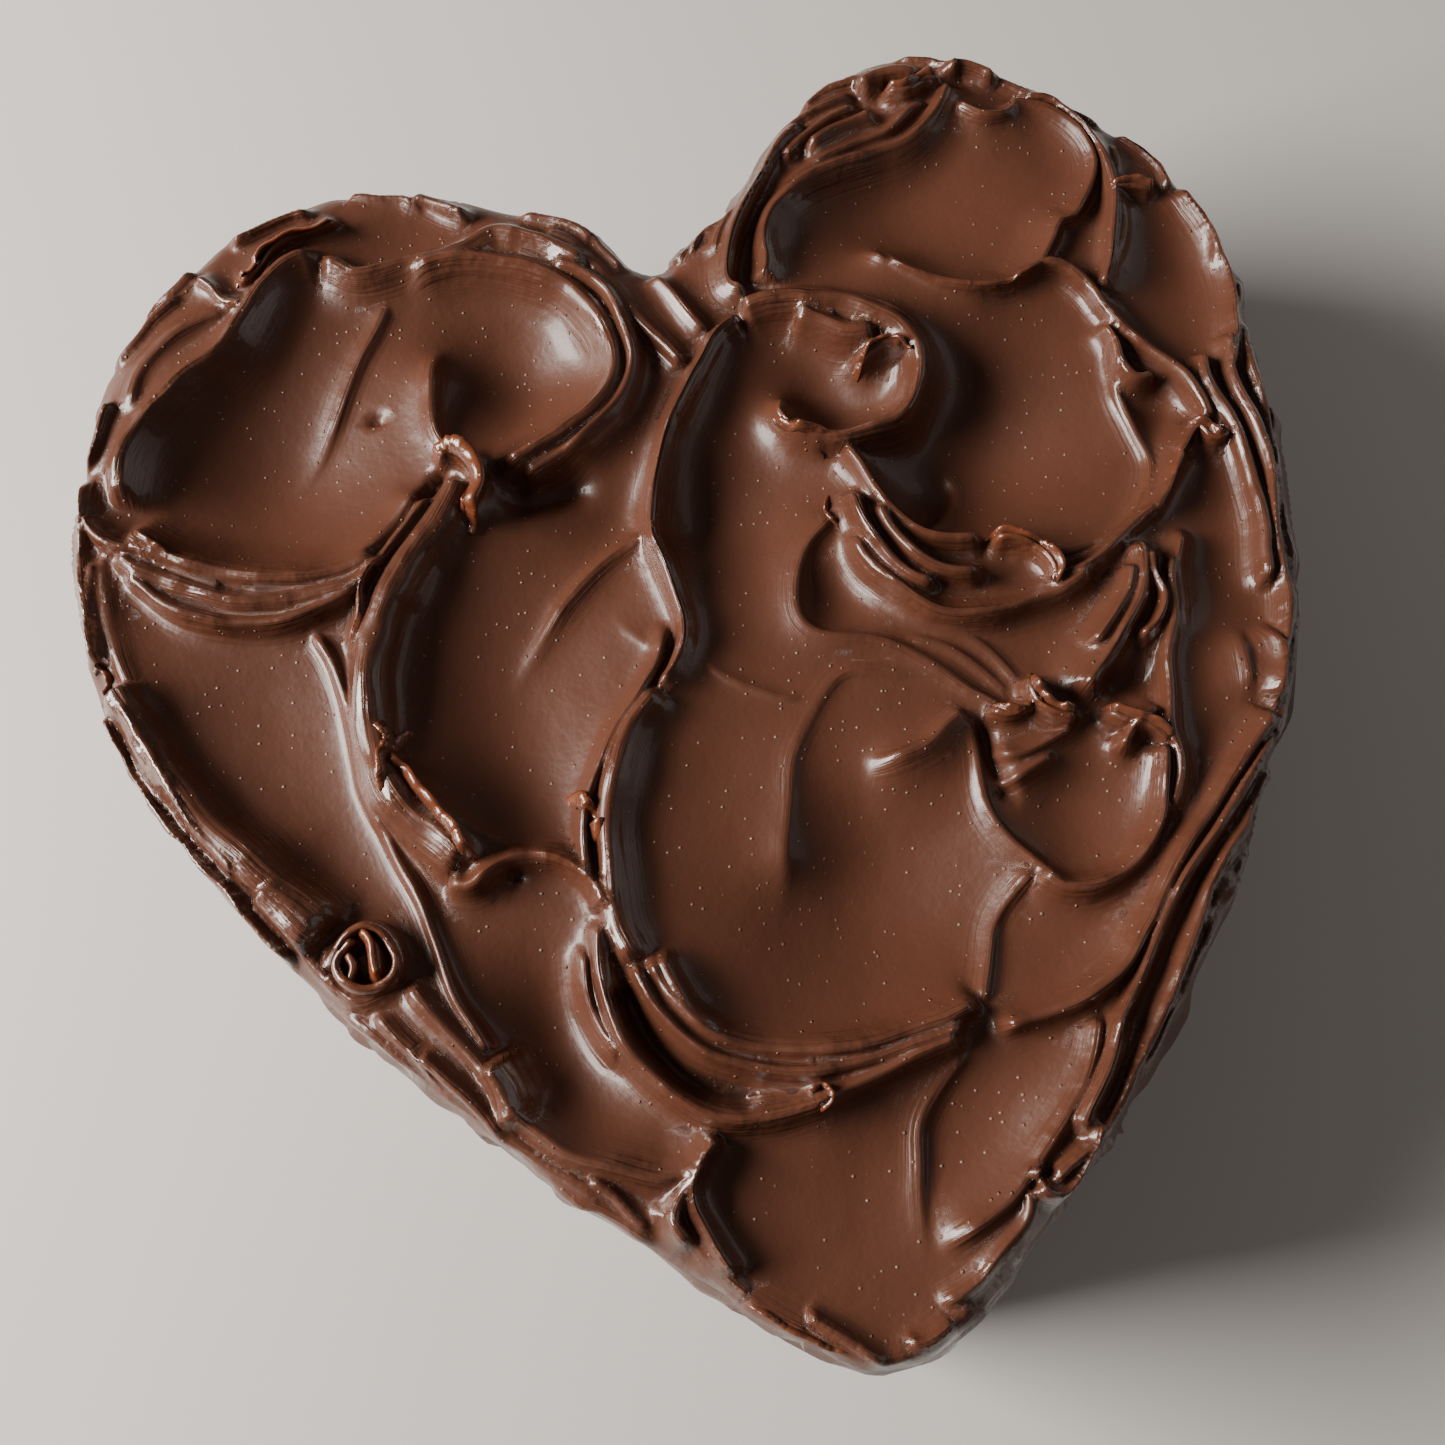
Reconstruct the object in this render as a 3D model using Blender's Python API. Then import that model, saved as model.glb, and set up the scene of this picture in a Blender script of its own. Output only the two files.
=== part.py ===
"""A heart-shaped chocolate cake, uncut, covered all over in thick icing.

The top is a sheet of icing pulled into bowls and folds by the back of a spoon. Every fold is a ridge, given
by the few points that it runs through, its height, and how steeply it falls on each side. Between the ridges
the icing sags like a loose skin into the bowls. The wall is swept round and round, which leaves long shallow
ridges.

The tip of the heart points to -Y and its two lobes to +Y. The origin is on the ground, under the middle.
"""

from collections import namedtuple
import math

import bpy
import numpy as np
from mathutils import Vector
from mathutils.geometry import delaunay_2d_cdt

MM = 0.001

# Driving sizes, in millimetres: the height of the icing's plane, and how it turns over into the wall.
PLANE_HEIGHT = 72.0
SHOULDER_RADIUS = 6.0
FOOT_FLARE = 2.2
FOOT_HEIGHT = 7.0

# How finely the surface is sampled and meshed, in millimetres and degrees.
PLAN_LOW = (-128, -134)
PLAN_HIGH = (128, 138)
FIELD_CELL = 0.8
WALL_CELL = 1.0
WALL_MARGIN = 4
WIDEST_INSET = 95
CURVE_STEP = 1.2
EDGE_STEP = 2.5
OUTLINE_STEP = 2.4
WALL_STEP = 3.0
LATTICE_STEP = 1.3
SHOULDER_RINGS = (75, 60, 45, 30, 15)
TARGET_TRIANGLES = 11000

ICING_COLOUR = (0.095, 0.034, 0.019, 1)
ICING_ROUGHNESS = 0.3

# Where the heart's edge runs, clockwise from the notch by the right lobe, the tip and the left lobe.
NOTCH = (2, 86.5)
RIGHT_LOBE = [
    (10, 92), (18, 96.5), (23.5, 103.5), (29, 112), (37, 119.5), (47, 125.5), (56.5, 129), (66, 128),
    (75, 123.5), (86, 116.5), (95, 109), (104, 101), (111, 91)]
RIGHT_SIDE = [
    (116, 78), (118.5, 64), (118.5, 50), (117.5, 35), (114.5, 17), (110, -3), (105.5, -18), (99, -32),
    (91, -45), (82, -59), (71, -74), (60, -87), (50, -97)]
TIP = [(40, -105), (30, -112.5), (21, -119), (14.5, -123), (8.5, -124.5), (2.5, -124), (-5, -119.5)]
LEFT_SIDE = [
    (-18, -108.5), (-34, -95), (-52, -78.5), (-66, -64.5), (-78, -51), (-90, -34), (-99.5, -19.5),
    (-108, -4), (-114, 9), (-117.5, 25), (-118, 44)]
LEFT_LOBE = [
    (-116.5, 61.5), (-112, 79), (-102, 94), (-90, 106), (-78, 113.5), (-62, 116.5), (-46, 115),
    (-30, 109), (-17, 104), (-7, 98.5)]
OUTLINE = [NOTCH] + RIGHT_LOBE + RIGHT_SIDE + TIP + LEFT_SIDE + LEFT_LOBE + [NOTCH]

# crest: height of the ridge's top above the icing's plane, or None where it lies on the floor of a bowl.
# lift: how far it stands up from the icing beside it.
# left, right: how far its flank reaches on each side of its run. width: half the width of its round top.
# ends: the lengths over which it dies away at its start and its end.
Ridge = namedtuple("Ridge", "crest lift left right width ends points")
CREST_ROUNDING = 0.8
RIDGE_BLEND = 4

LEFT_LOBE_RIDGES = {
    "bowl rim": Ridge(4.6, 4.8, 1.0, 2.2, 1.6, (5, 5), [
        (-107, 50), (-104.5, 59), (-99.5, 67.5), (-91.5, 75), (-84, 79.5), (-79.5, 86), (-74.5, 93),
        (-68, 97.3), (-62, 97)]),
    "top band": Ridge(4.6, 4.6, 0.9, 2.4, 1.4, (5, 6), [
        (-66, 98), (-61, 96.3), (-56, 93.2), (-46, 93.6), (-36, 95.4), (-28, 97.8), (-21, 94.5),
        (-14, 89.5), (-9, 84)]),
    "outer band": Ridge(3.6, 1.6, 2.5, 0.9, 0.3, (5, 6), [
        (-104, 70), (-101.5, 79), (-96, 85.5), (-89, 89), (-80, 90.5)]),
    "star": Ridge(4.8, 2.4, 0.9, 0.9, 0.2, (2, 2), [
        (-89, 99.5), (-85, 95.5), (-83, 92), (-78.5, 89.5)]),
    "torn lip": Ridge(4, 3.9, 2.2, 0.6, 0, (3, 3), [
        (-82, 96), (-78, 98), (-74.5, 102.5), (-69, 105), (-63, 106.5), (-59, 109)]),
    "bowl fold": Ridge(None, 1.3, 0.7, 2.6, 0.4, (6, 20), [
        (-51, 90), (-55, 83), (-60.5, 75), (-66.5, 65), (-71, 57), (-76, 51)]),
    "right bowl rim": Ridge(5, 5.1, 1.1, 2.0, 1.5, (9, 7), [
        (-51, 90), (-42, 92), (-34, 92), (-25.5, 89.5), (-18, 84.5), (-12.5, 77.5), (-9.5, 70),
        (-9.5, 62), (-14, 55.5), (-21, 51), (-30, 47.5), (-37, 45.5)]),
    "right bowl outer rope": Ridge(4.8, 5, 1, 0.9, 1.0, (5, 6), [
        (-20, 90), (-12.5, 85.5), (-7.5, 79), (-5.3, 70), (-6, 61), (-10, 53.5), (-17, 48.5), (-25, 45),
        (-33, 42)]),
    "right bowl edge": Ridge(1.4, 2.2, 0.9, 2.0, 0.3, (12, 4), [
        (-42, 78), (-45, 70), (-46.3, 62), (-45, 54.5), (-41, 50), (-35, 48)]),
    "little fold": Ridge(6, 5.5, 0.8, 0.7, 0.2, (2, 4), [
        (-47, 49.5), (-43, 50.3), (-40, 47.5), (-38.6, 43.5), (-39.7, 39.5), (-43, 35)]),
    "floor rim": Ridge(4.8, 5, 2.6, 0.8, 1.3, (4, 4), [
        (-107, 46), (-97, 38.3), (-85, 32.2), (-73, 30), (-63, 31.3), (-55, 36), (-48.5, 44.5)]),
    "middle layer": Ridge(4.3, 4.2, 0.8, 0.8, 1.2, (4, 6), [
        (-109, 41.5), (-99, 34), (-89, 28.5), (-78, 26.4), (-68, 26.8), (-58.5, 31)]),
    "lower layer": Ridge(3.9, 4.2, 0.8, 0.8, 1.1, (5, 5), [
        (-107, 39), (-99.5, 30.2), (-91, 24.6), (-80, 22.6), (-71, 23.6), (-63.5, 27.5), (-56, 33.5)]),
    "glossy tear": Ridge(4.6, 4.3, 1.2, 0.8, 0.6, (2, 3), [
        (-113, 51), (-111.5, 46), (-108, 42.5), (-103, 41), (-99.5, 38)]),
}

LEFT_SIDE_RIDGES = {
    "thick roll": Ridge(5.2, 5.5, 1.1, 1.1, 2.3, (3, 4), [
        (-41.5, 45.5), (-46, 37.5), (-53, 29), (-58.5, 21), (-62, 12), (-63.9, 1), (-63.4, -10),
        (-59.8, -19.5), (-53.5, -27.5), (-49.5, -32)]),
    "torn seam": Ridge(6.2, 2.2, 0.6, 0.6, 0.1, (2, 3), [
        (-61, -9), (-57, -14.5), (-53, -21), (-50, -27), (-48, -32)]),
    "knot": Ridge(4.4, 4.5, 1.0, 1.0, 0.9, (3, 3), [
        (-54.5, -32), (-50, -34.3), (-46, -32.5), (-42, -31), (-36, -31), (-31.5, -33.5), (-28, -38.5),
        (-26.5, -44)]),
    "foot ridge": Ridge(3.6, 3.9, 2.4, 1.0, 0.6, (3, 3), [
        (-49.5, -64), (-47, -73), (-41, -80), (-34, -84.5), (-25, -88), (-19, -86), (-14, -82)]),
    "foot roll": Ridge(5, 4.9, 1.4, 1.4, 1.8, (3, 4), [(-50, -63), (-47.5, -70), (-46.5, -78)]),
    "edge rope": Ridge(3.6, 3.9, 1.6, 1, 0.9, (5, 4), [
        (-113.5, 60), (-115, 48), (-115, 38), (-113.6, 27), (-112.5, 18)]),
    "edge rope inner": Ridge(2.4, 1.6, 2, 0.8, 0.2, (5, 6), [
        (-107.5, 49), (-110.5, 40), (-110.5, 28), (-108, 17), (-103.5, 7)]),
    "edge crest": Ridge(5.4, 5.6, 1.6, 1.0, 1.5, (3, 5), [
        (-112, 15), (-107, 3), (-101, -8.5), (-95, -17.5), (-88.5, -24), (-80, -31), (-73, -38.5)]),
    "edge smear": Ridge(4.6, 4.8, 0.9, 0.9, 0.9, (4, 4), [
        (-113.5, 11), (-108.5, -2), (-103, -12), (-96, -23), (-89, -33), (-82, -43)]),
    "curl tube": Ridge(5.8, 6.2, 0.8, 0.8, 2.5, (2, 3), [(-85.6, -27.5), (-81, -34), (-76, -40)]),
    "curl foot": Ridge(1.6, 2.4, 1.2, 1.2, 1.0, (0.5, 0.5), [
        (-75.5, -44.5), (-72, -49.5), (-66.5, -48.5), (-64.5, -43.5), (-68, -39.5), (-73, -40),
        (-75.5, -44.5)]),
    "curl tail": Ridge(3, 2, 1.0, 1.0, 0.4, (3, 4), [
        (-63, -48), (-57, -58), (-50.5, -67), (-48.5, -76)]),
    "low edge": Ridge(2.4, 2.4, 1.6, 1.0, 0.7, (4, 6), [
        (-77, -51), (-68, -61), (-58, -71), (-48, -81), (-38, -91), (-27, -100)]),
}

MIDDLE_RIDGES = {
    "spine": Ridge(4.2, 4.8, 1.3, 0.9, 0.9, (3, 5), [
        (18.6, 69.5), (12.5, 66), (7.5, 60), (1, 50.5), (-4, 40), (-7.2, 29), (-5.6, 20), (-4.6, 8),
        (-7.5, -0.5), (-13, -6)]),
    "spine rope": Ridge(4.6, 4.8, 1.8, 1.0, 2.0, (5, 5), [
        (-10, -2.5), (-15.5, -8.5), (-20.5, -15.5), (-23.7, -24), (-25.3, -34), (-25, -45),
        (-22.5, -55)]),
    "branch": Ridge(None, 1.9, 1.8, 0.8, 0.2, (2, 22), [
        (-7, 28.7), (-13, 26.8), (-20, 22.5), (-27, 16.5), (-33, 9.5), (-40, 1.5)]),
    "first bowl rim": Ridge(4.6, 4.8, 2, 0.8, 0.9, (5, 4), [
        (-22, -50), (-18, -60), (-11, -67.3), (0, -71.5), (12, -72.6), (24, -71.6), (34, -69.5)]),
    "second bowl rim": Ridge(4.5, 4.5, 0.8, 0.8, 0.7, (4, 4), [
        (-24.5, -51), (-20.5, -61.5), (-13, -70), (-2, -74.7), (10, -75.6), (21, -74.4), (31, -71.7)]),
    "second bowl strand": Ridge(4.6, 4.3, 0.7, 0.7, 0.4, (4, 6), [
        (-19.5, -50), (-17, -57), (-14, -63), (-8, -68)]),
    "third bowl rim": Ridge(4.2, 4.5, 0.9, 0.9, 1.1, (4, 4), [
        (-28, -43), (-29.7, -54), (-27.6, -64), (-22.5, -72.5), (-15.5, -79.7), (-7, -81.3), (2, -80.6),
        (12, -78.7), (21, -76.2), (30, -73.6)]),
    "bowl fold": Ridge(-0.6, 0.8, 1.2, 3.5, 0.1, (4, 24), [
        (52, -20), (44, -14.5), (35, -9.5), (24, -6), (17, -10.5), (11, -19.5), (7.5, -30), (5, -41),
        (1.5, -51)]),
    "crescent": Ridge(0.6, 1.6, 0.9, 3, 0.1, (5, 4), [
        (28, 26), (21.5, 20.5), (17.5, 13), (16.3, 5.5), (19.5, 1.3), (26, -0.5), (32, -3), (39, -8.5),
        (46, -15), (52, -21)]),
    "spike": Ridge(5, 4.9, 0.8, 0.8, 0.3, (2, 2), [(55.5, -13.5), (55, -19), (57, -22), (62, -24)]),
    "tongue crest": Ridge(2.8, 2.4, 0.9, 3.4, 0.2, (8, 3), [
        (22, -24), (28, -25.3), (34, -24), (38.5, -20.5), (43.3, -17.8)]),
    "big bowl east": Ridge(1.9, 3.0, 0.8, 0.9, 0.2, (3, 3), [
        (43.3, -17.8), (42.2, -27), (42.4, -36), (44.5, -42.5), (48, -48), (52.5, -52.5)]),
    "round cell rim": Ridge(3.8, 4.1, 2.6, 1.0, 0.6, (3, 4), [
        (48, -48.5), (52, -52.5), (58, -53.6), (65, -50.8), (70.8, -45), (74.3, -37), (76, -29)]),
    "diagonal roll": Ridge(5, 5, 2.4, 1.0, 1.1, (5, 3), [
        (62, -20.5), (67, -15.5), (73, -10), (78, -4), (80.5, 3), (80.5, 9)]),
    "knot arm": Ridge(4.6, 4.6, 0.8, 0.8, 0.7, (3, 3), [
        (66, -22), (70, -25.5), (74.5, -28), (77, -33)]),
    "other knot arm": Ridge(4.4, 4.4, 0.8, 0.8, 0.6, (3, 3), [
        (78, -24.5), (73, -26), (69, -30), (67, -32.5)]),
    "east wall": Ridge(3.6, 3.8, 2, 0.8, 0.2, (5, 6), [
        (88.5, 6), (85.5, 0), (84, -8), (80.5, -17), (78, -27), (77, -36), (72, -46)]),
    "lump edge": Ridge(3.9, 4.7, 1.6, 1.0, 0.8, (6, 5), [
        (29, 22), (31, 14), (35.5, 7.5), (42, 1.6), (50, -0.6), (58, -0.4), (66, 1.5), (73, 6)]),
    "lump curl": Ridge(5.4, 4.9, 0.8, 0.8, 0.3, (2, 2), [
        (54, 13.6), (59, 12.6), (63, 9.3), (64.6, 5), (62.8, 1.8)]),
}

RIGHT_LOBE_RIDGES = {
    "notch rope": Ridge(4.4, 4.7, 1.0, 1.8, 0.8, (5, 3), [
        (40, 113), (33, 109), (27.5, 102.5), (22.5, 94.5), (18.3, 87), (16, 80.5), (16.5, 76),
        (20.5, 74.2)]),
    "crown": Ridge(4.4, 4.6, 1.0, 2.0, 1.1, (3, 4), [
        (22.5, 75), (24.3, 80), (25, 86), (28.5, 92.2), (35, 97), (43, 100), (51, 101.5), (57.5, 103),
        (63.5, 107), (67.5, 112), (70.5, 117.5)]),
    "crown step": Ridge(3.8, 3.9, 0.8, 1.6, 0.4, (4, 4), [
        (36, 105), (43, 108), (50, 111), (55, 112.5)]),
    "top lump": Ridge(5, 5.1, 1.2, 1.2, 1.4, (3, 3), [(50, 118), (55, 121), (61, 121), (66, 118)]),
    "top lump fold": Ridge(5, 4.9, 0.8, 0.8, 0.5, (3, 3), [
        (55, 117), (60, 115.5), (65, 117.5), (69, 116)]),
    "corner flap": Ridge(4.6, 4.6, 2.5, 0.8, 0.6, (3, 3), [
        (70.5, 117), (72, 121), (77, 118.5), (81, 114.5)]),
    "round tongue": Ridge(3.2, 3.5, 2.2, 0.8, 0.2, (8, 4), [
        (47, 81.5), (50.5, 76.5), (56.5, 72), (63, 69), (70, 67.4), (76, 70), (80.5, 74.5), (84, 79.3),
        (87.5, 80.5), (92, 86), (94.2, 92), (93, 99), (89.5, 104.5), (84, 107.8), (78, 108.5)]),
    "crown east": Ridge(4, 4.2, 1.8, 1.0, 0.6, (4, 3), [
        (82, 110.5), (89, 108), (94, 102), (96.8, 94), (97, 86), (95.5, 78), (92.5, 69), (88.5, 61.5)]),
    "pointed lip": Ridge(3.2, 3.5, 2.4, 0.8, 0.2, (2, 2), [(95.5, 84), (100, 84), (105.5, 82.5)]),
    "north-east ridge": Ridge(3.8, 4.5, 0.9, 0.9, 0.5, (3, 3), [
        (70, 66.5), (77, 69.5), (82.5, 68.7), (86.3, 64), (88.5, 58), (91, 52), (95, 46.5), (99, 41),
        (101, 35), (101.8, 28.5)]),
    "edge crest": Ridge(3.2, 3.5, 1.4, 1.8, 0.6, (5, 3), [
        (110, 85), (113.5, 73), (114, 60), (112, 49), (108, 40)]),
    "centre hook": Ridge(4.6, 5.6, 0.9, 1.4, 1.5, (2, 5), [
        (17, 70), (25, 70.5), (33.5, 69), (41, 65.8), (46.5, 61), (48.8, 54.5), (47.8, 47.5),
        (43, 42.3), (36, 40.6), (28.5, 41), (20.5, 45.5)]),
    "hook top": Ridge(5.4, 5.3, 1.0, 1.0, 1.8, (3, 4), [(27, 69), (33, 65), (38, 61.5), (44.5, 60.5)]),
    "hook tongue": Ridge(5.2, 4.9, 0.8, 0.8, 0.5, (2, 3), [
        (37, 54.5), (40.5, 57), (45, 57.5), (48.5, 54.5)]),
    "bowl lip": Ridge(3.8, 4.5, 1.0, 1.8, 0.3, (3, 3), [
        (31, 39.5), (33.3, 34), (35.3, 27.5), (38.5, 21.5), (43, 16.8), (48.5, 14.8), (54, 13.8)]),
    "bowl side step": Ridge(None, 1.2, 2, 0.7, 0, (5, 5), [
        (52, 36), (53, 30), (51, 24.5), (46.5, 20), (41, 18)]),
    "bowl foot": Ridge(3.4, 4.3, 1.2, 0.8, 0.4, (4, 3), [
        (56, 11), (64, 9.7), (72, 9.6), (79, 11), (85, 16.5), (88.5, 24), (88, 32), (87, 40),
        (87.5, 47), (89.5, 54), (87, 62)]),
    "bowl foot edge": Ridge(4, 4.1, 0.9, 1.0, 0.3, (4, 3), [
        (64, 3.5), (72, 5.5), (79, 9), (85.5, 13.5), (91, 20), (95.3, 26)]),
    "ragged lip": Ridge(3.8, 3.8, 2, 0.7, 0.2, (3, 3), [
        (85, 11), (89, 17), (92, 22), (95.3, 26.5), (99, 29.3), (101.5, 26.5), (104.5, 29)]),
    "notch sheet": Ridge(3.4, 2.4, 2, 0.9, 0.3, (3, 3), [
        (-19.4, 97), (-14, 93.5), (-10, 88.5), (-6.5, 82), (-3, 74.5), (1, 67), (5.5, 60.5)]),
    "notch fold": Ridge(3.2, 3.5, 1.2, 1.2, 0.6, (3, 3), [(5, 86), (8.5, 91), (13, 95), (17, 99)]),
}

RIGHT_SIDE_RIDGES = {
    "edge crest": Ridge(3.6, 4.2, 0.9, 1.0, 0.5, (3, 5), [
        (104, 46), (103, 38), (105, 29), (105.8, 20), (105, 10), (103, 1), (102, -7)]),
    "flake": Ridge(4.2, 4.4, 2.4, 0.8, 0.4, (3, 3), [
        (95.5, -28), (98.6, -23), (100, -16.5), (99.4, -10.5)]),
    "long diagonal": Ridge(3.8, 4.1, 0.9, 1.6, 0.5, (3, 4), [
        (97, -28), (90.5, -34.5), (83, -41.5), (76, -48), (69.5, -55), (63.5, -62), (58, -68),
        (51, -71.7), (43, -73.6), (34, -75)]),
    "outer diagonal": Ridge(3, 3.4, 0.9, 1.0, 0.4, (4, 5), [
        (95, -37), (88, -45.5), (80, -54), (73, -62.5), (67, -71), (60, -80), (52, -90), (45, -97)]),
    "edge diagonal": Ridge(1.6, 2.4, 1.0, 1.0, 0.5, (4, 5), [
        (88, -50), (80, -59.5), (73, -68.5), (65, -78.5), (57, -88)]),
    "cell split": Ridge(None, 2.0, 2.4, 0.9, 0.2, (3, 3), [
        (33.5, -70.5), (36.3, -63), (39.5, -56.5), (44, -51.3), (48.5, -48)]),
    "tip split": Ridge(None, 1.3, 0.8, 3, 0.1, (4, 14), [
        (30, -76.5), (24.5, -81.5), (19, -87.5), (16.8, -95), (15.5, -104), (14.8, -110)]),
    "tip west": Ridge(4.2, 4.4, 1.0, 1.8, 0.9, (3, 4), [
        (-14, -82), (-18.6, -87), (-20.6, -93), (-18.8, -100), (-15, -107)]),
    "tip band": Ridge(3.0, 2.4, 0.9, 2.2, 0.3, (4, 8), [
        (53, -74), (49.5, -81), (45.5, -87), (39.5, -93.5), (33, -99), (26, -103.5), (17, -108)]),
    "tip roll": Ridge(4.6, 4.6, 1.0, 1.0, 0.8, (3, 3), [(57, -75), (53, -82), (48, -88.5), (43, -94)]),
    "tip curl": Ridge(4.2, 4.3, 0.9, 0.9, 0.9, (2, 3), [
        (35.5, -96), (36.5, -101.5), (41, -102), (45, -97.5), (49, -91)]),
    "tip rim": Ridge(1.0, 2.2, 1.6, 1.0, 0.5, (4, 4), [
        (-17, -107.5), (-9, -114.5), (-3, -118), (3, -121), (10, -122), (17, -119.5), (23, -115.5)]),
}

# Where the icing was torn or left open: depth and half-width of the gap, and the points it runs through.
Gap = namedtuple("Gap", "depth width points")
GAPS = [
    Gap(3.4, 1.3, [(-60, 33), (-54, 38.5), (-49, 44), (-46, 47)]),
    Gap(3.4, 1.4, [(-26.5, -58), (-23, -67), (-17.5, -74), (-9, -78)]),
    Gap(4.5, 4.0, [(-31, 41), (-26, 41.5), (-22, 42)]),
    Gap(2.6, 1.6, [(45, -23), (45.5, -28), (46.5, -34)]),
    Gap(2.4, 2.2, [(70, -18), (75, -18)]),
    Gap(2.0, 0.9, [(28, 38.5), (31, 37.5)]),
    Gap(2.4, 1.0, [(58, 118.5), (62, 118), (66, 120)]),
    Gap(2.0, 0.9, [(35, -100), (37.5, -98.5)]),
    Gap(1.6, 1.0, [(-57.8, 63.8), (-57, 63.8)]),
    Gap(2.2, 1.0, [(-42.6, -33.6), (-41.6, -33.6)]),
]

# Where the spoon pressed a bowl: middle, radius and depth.
Scoop = namedtuple("Scoop", "x y radius depth")
SCOOPS = [
    Scoop(-81, 50, 17, 5.0), Scoop(-30, 68, 13, 4.0), Scoop(-38, 4, 21, 4.4), Scoop(-40, -14, 12, 3.0),
    Scoop(23, 45, 12, 4.0), Scoop(4, 30, 7, 1.2), Scoop(16, -45, 16, 2.8), Scoop(26, -52, 16, 1.0),
    Scoop(50, 40, 13, 3.5), Scoop(62, 36, 18, 1.2), Scoop(45, 27, 9, 2.0), Scoop(56, 88, 16, 2.0),
    Scoop(46, 92, 10, 1.5), Scoop(-37, -61, 10, 4.0), Scoop(0, -98, 14, 0.5), Scoop(26, -90, 11, 1.5),
    Scoop(90, 2, 11, 2.5), Scoop(56, -38, 11, 3.0), Scoop(56, -10, 10, 1.0), Scoop(32, 50, 9, 3.0),
    Scoop(52, -64, 10, 1.5), Scoop(104, 66, 7, 1.0), Scoop(24, 10, 7, 2.0), Scoop(-9, 34, 9, 3.0),
    Scoop(-90, 85, 8, 1.5), Scoop(-45, 102, 10, 1.0), Scoop(94, 36, 6, 2.0), Scoop(-72, -24, 9, 1.2),
    Scoop(-84, 8, 14, 1.0), Scoop(53, 53, 7, 1.5), Scoop(-30, -24, 8, 2.0),
]
SCOOP_PULL = 5.2
REST_SAG = 0.003
SKIN_SOFTNESS = 1.6
SKIN_ROUNDS = 150

# The sweeps round the wall: how many, how long, how steeply they climb, and how far they stand out.
WALL_TIERS = [12, 27, 42, 56]
SWEEPS_PER_TIER = 7
SWEEP_LENGTH = (60, 130)
SWEEP_CLIMB = 7
SWEEP_LIFT = (1.0, 2.2)
SWEEP_FLANKS = (1.3, 5.0)
SWEEP_ENDS = (12, 18)
WALL_WAVE = 0.9
WALL_INSET = 0.6
WALL_SEED = 11


class Field:
    """A rectangle of evenly spaced samples, on the plan of the top or on the unrolled wall."""

    def __init__(self, low, high, cell):
        self.cell = cell
        self.x = np.arange(low[0], high[0] + cell, cell)
        self.y = np.arange(low[1], high[1] + cell, cell)
        self.grid_x, self.grid_y = np.meshgrid(self.x, self.y)
        self.shape = self.grid_x.shape

    def sample(self, values, x, y):
        """The values at the points x, y, blended between the four nearest samples."""
        across = np.clip((x - self.x[0]) / self.cell, 0, len(self.x) - 1.001)
        up = np.clip((y - self.y[0]) / self.cell, 0, len(self.y) - 1.001)
        i, j = across.astype(int), up.astype(int)
        u, v = across - i, up - j
        lower = values[j, i] * (1 - u) + values[j, i + 1] * u
        upper = values[j + 1, i] * (1 - u) + values[j + 1, i + 1] * u
        return lower * (1 - v) + upper * v

    def nearest(self, path, reach):
        """Distance to a path, side (1 left, -1 right), place along it, left-hand direction, and length."""
        distance = np.full(self.shape, 1e9)
        side, place, left_x, left_y = (np.zeros(self.shape) for _ in range(4))
        start = 0.0
        for a, b in zip(path[:-1], path[1:]):
            length = math.dist(a, b)
            low, high = np.minimum(a, b) - reach, np.maximum(a, b) + reach
            columns = slice(*np.searchsorted(self.x, (low[0], high[0])))
            rows = slice(*np.searchsorted(self.y, (low[1], high[1])))
            along_x, along_y = (b - a) / length
            x = self.grid_x[rows, columns] - a[0]
            y = self.grid_y[rows, columns] - a[1]
            along = x * along_x + y * along_y
            aside = y * along_x - x * along_y
            on_path = np.clip(along, 0, length)
            here = np.hypot(along - on_path, aside)
            closer = here < distance[rows, columns]
            distance[rows, columns][closer] = here[closer]
            side[rows, columns][closer] = (aside / np.maximum(here, 1e-6))[closer]
            place[rows, columns][closer] = (start + on_path)[closer]
            left_x[rows, columns][closer] = -along_y
            left_y[rows, columns][closer] = along_x
            start += length
        return distance, side, place, (left_x, left_y), start


def smooth_path(points, step):
    """A curve through the points, cut into pieces of about one step."""
    points = np.array(points, float)
    if np.allclose(points[0], points[-1]):
        before, after = points[-2], points[1]
    else:
        before, after = 2 * points[0] - points[1], 2 * points[-1] - points[-2]
    padded = np.vstack([before, points, after])
    pieces = []
    for p, q, r, s in zip(padded, padded[1:], padded[2:], padded[3:]):
        t = np.linspace(0, 1, max(2, round(math.dist(q, r) / step)), endpoint=False)[:, None]
        bend = (2 * p - 5 * q + 4 * r - s) * t**2 + (3 * q - p - 3 * r + s) * t**3
        pieces.append(0.5 * (2 * q + (r - p) * t + bend))
    return np.vstack(pieces + [points[-1:]])


def ease(t):
    t = np.clip(t, 0, 1)
    return t * t * (3 - 2 * t)


def waver(place, seed, wave):
    """An uneven wave along a length, between about -1 and 1."""
    random = np.random.default_rng(seed)
    total = np.zeros_like(place)
    for octave in range(4):
        length = wave * (1 + 0.9 * octave) * random.uniform(0.7, 1.3)
        total += np.sin(2 * math.pi * (place / length + random.random())) / (2 + octave)
    return total


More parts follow.
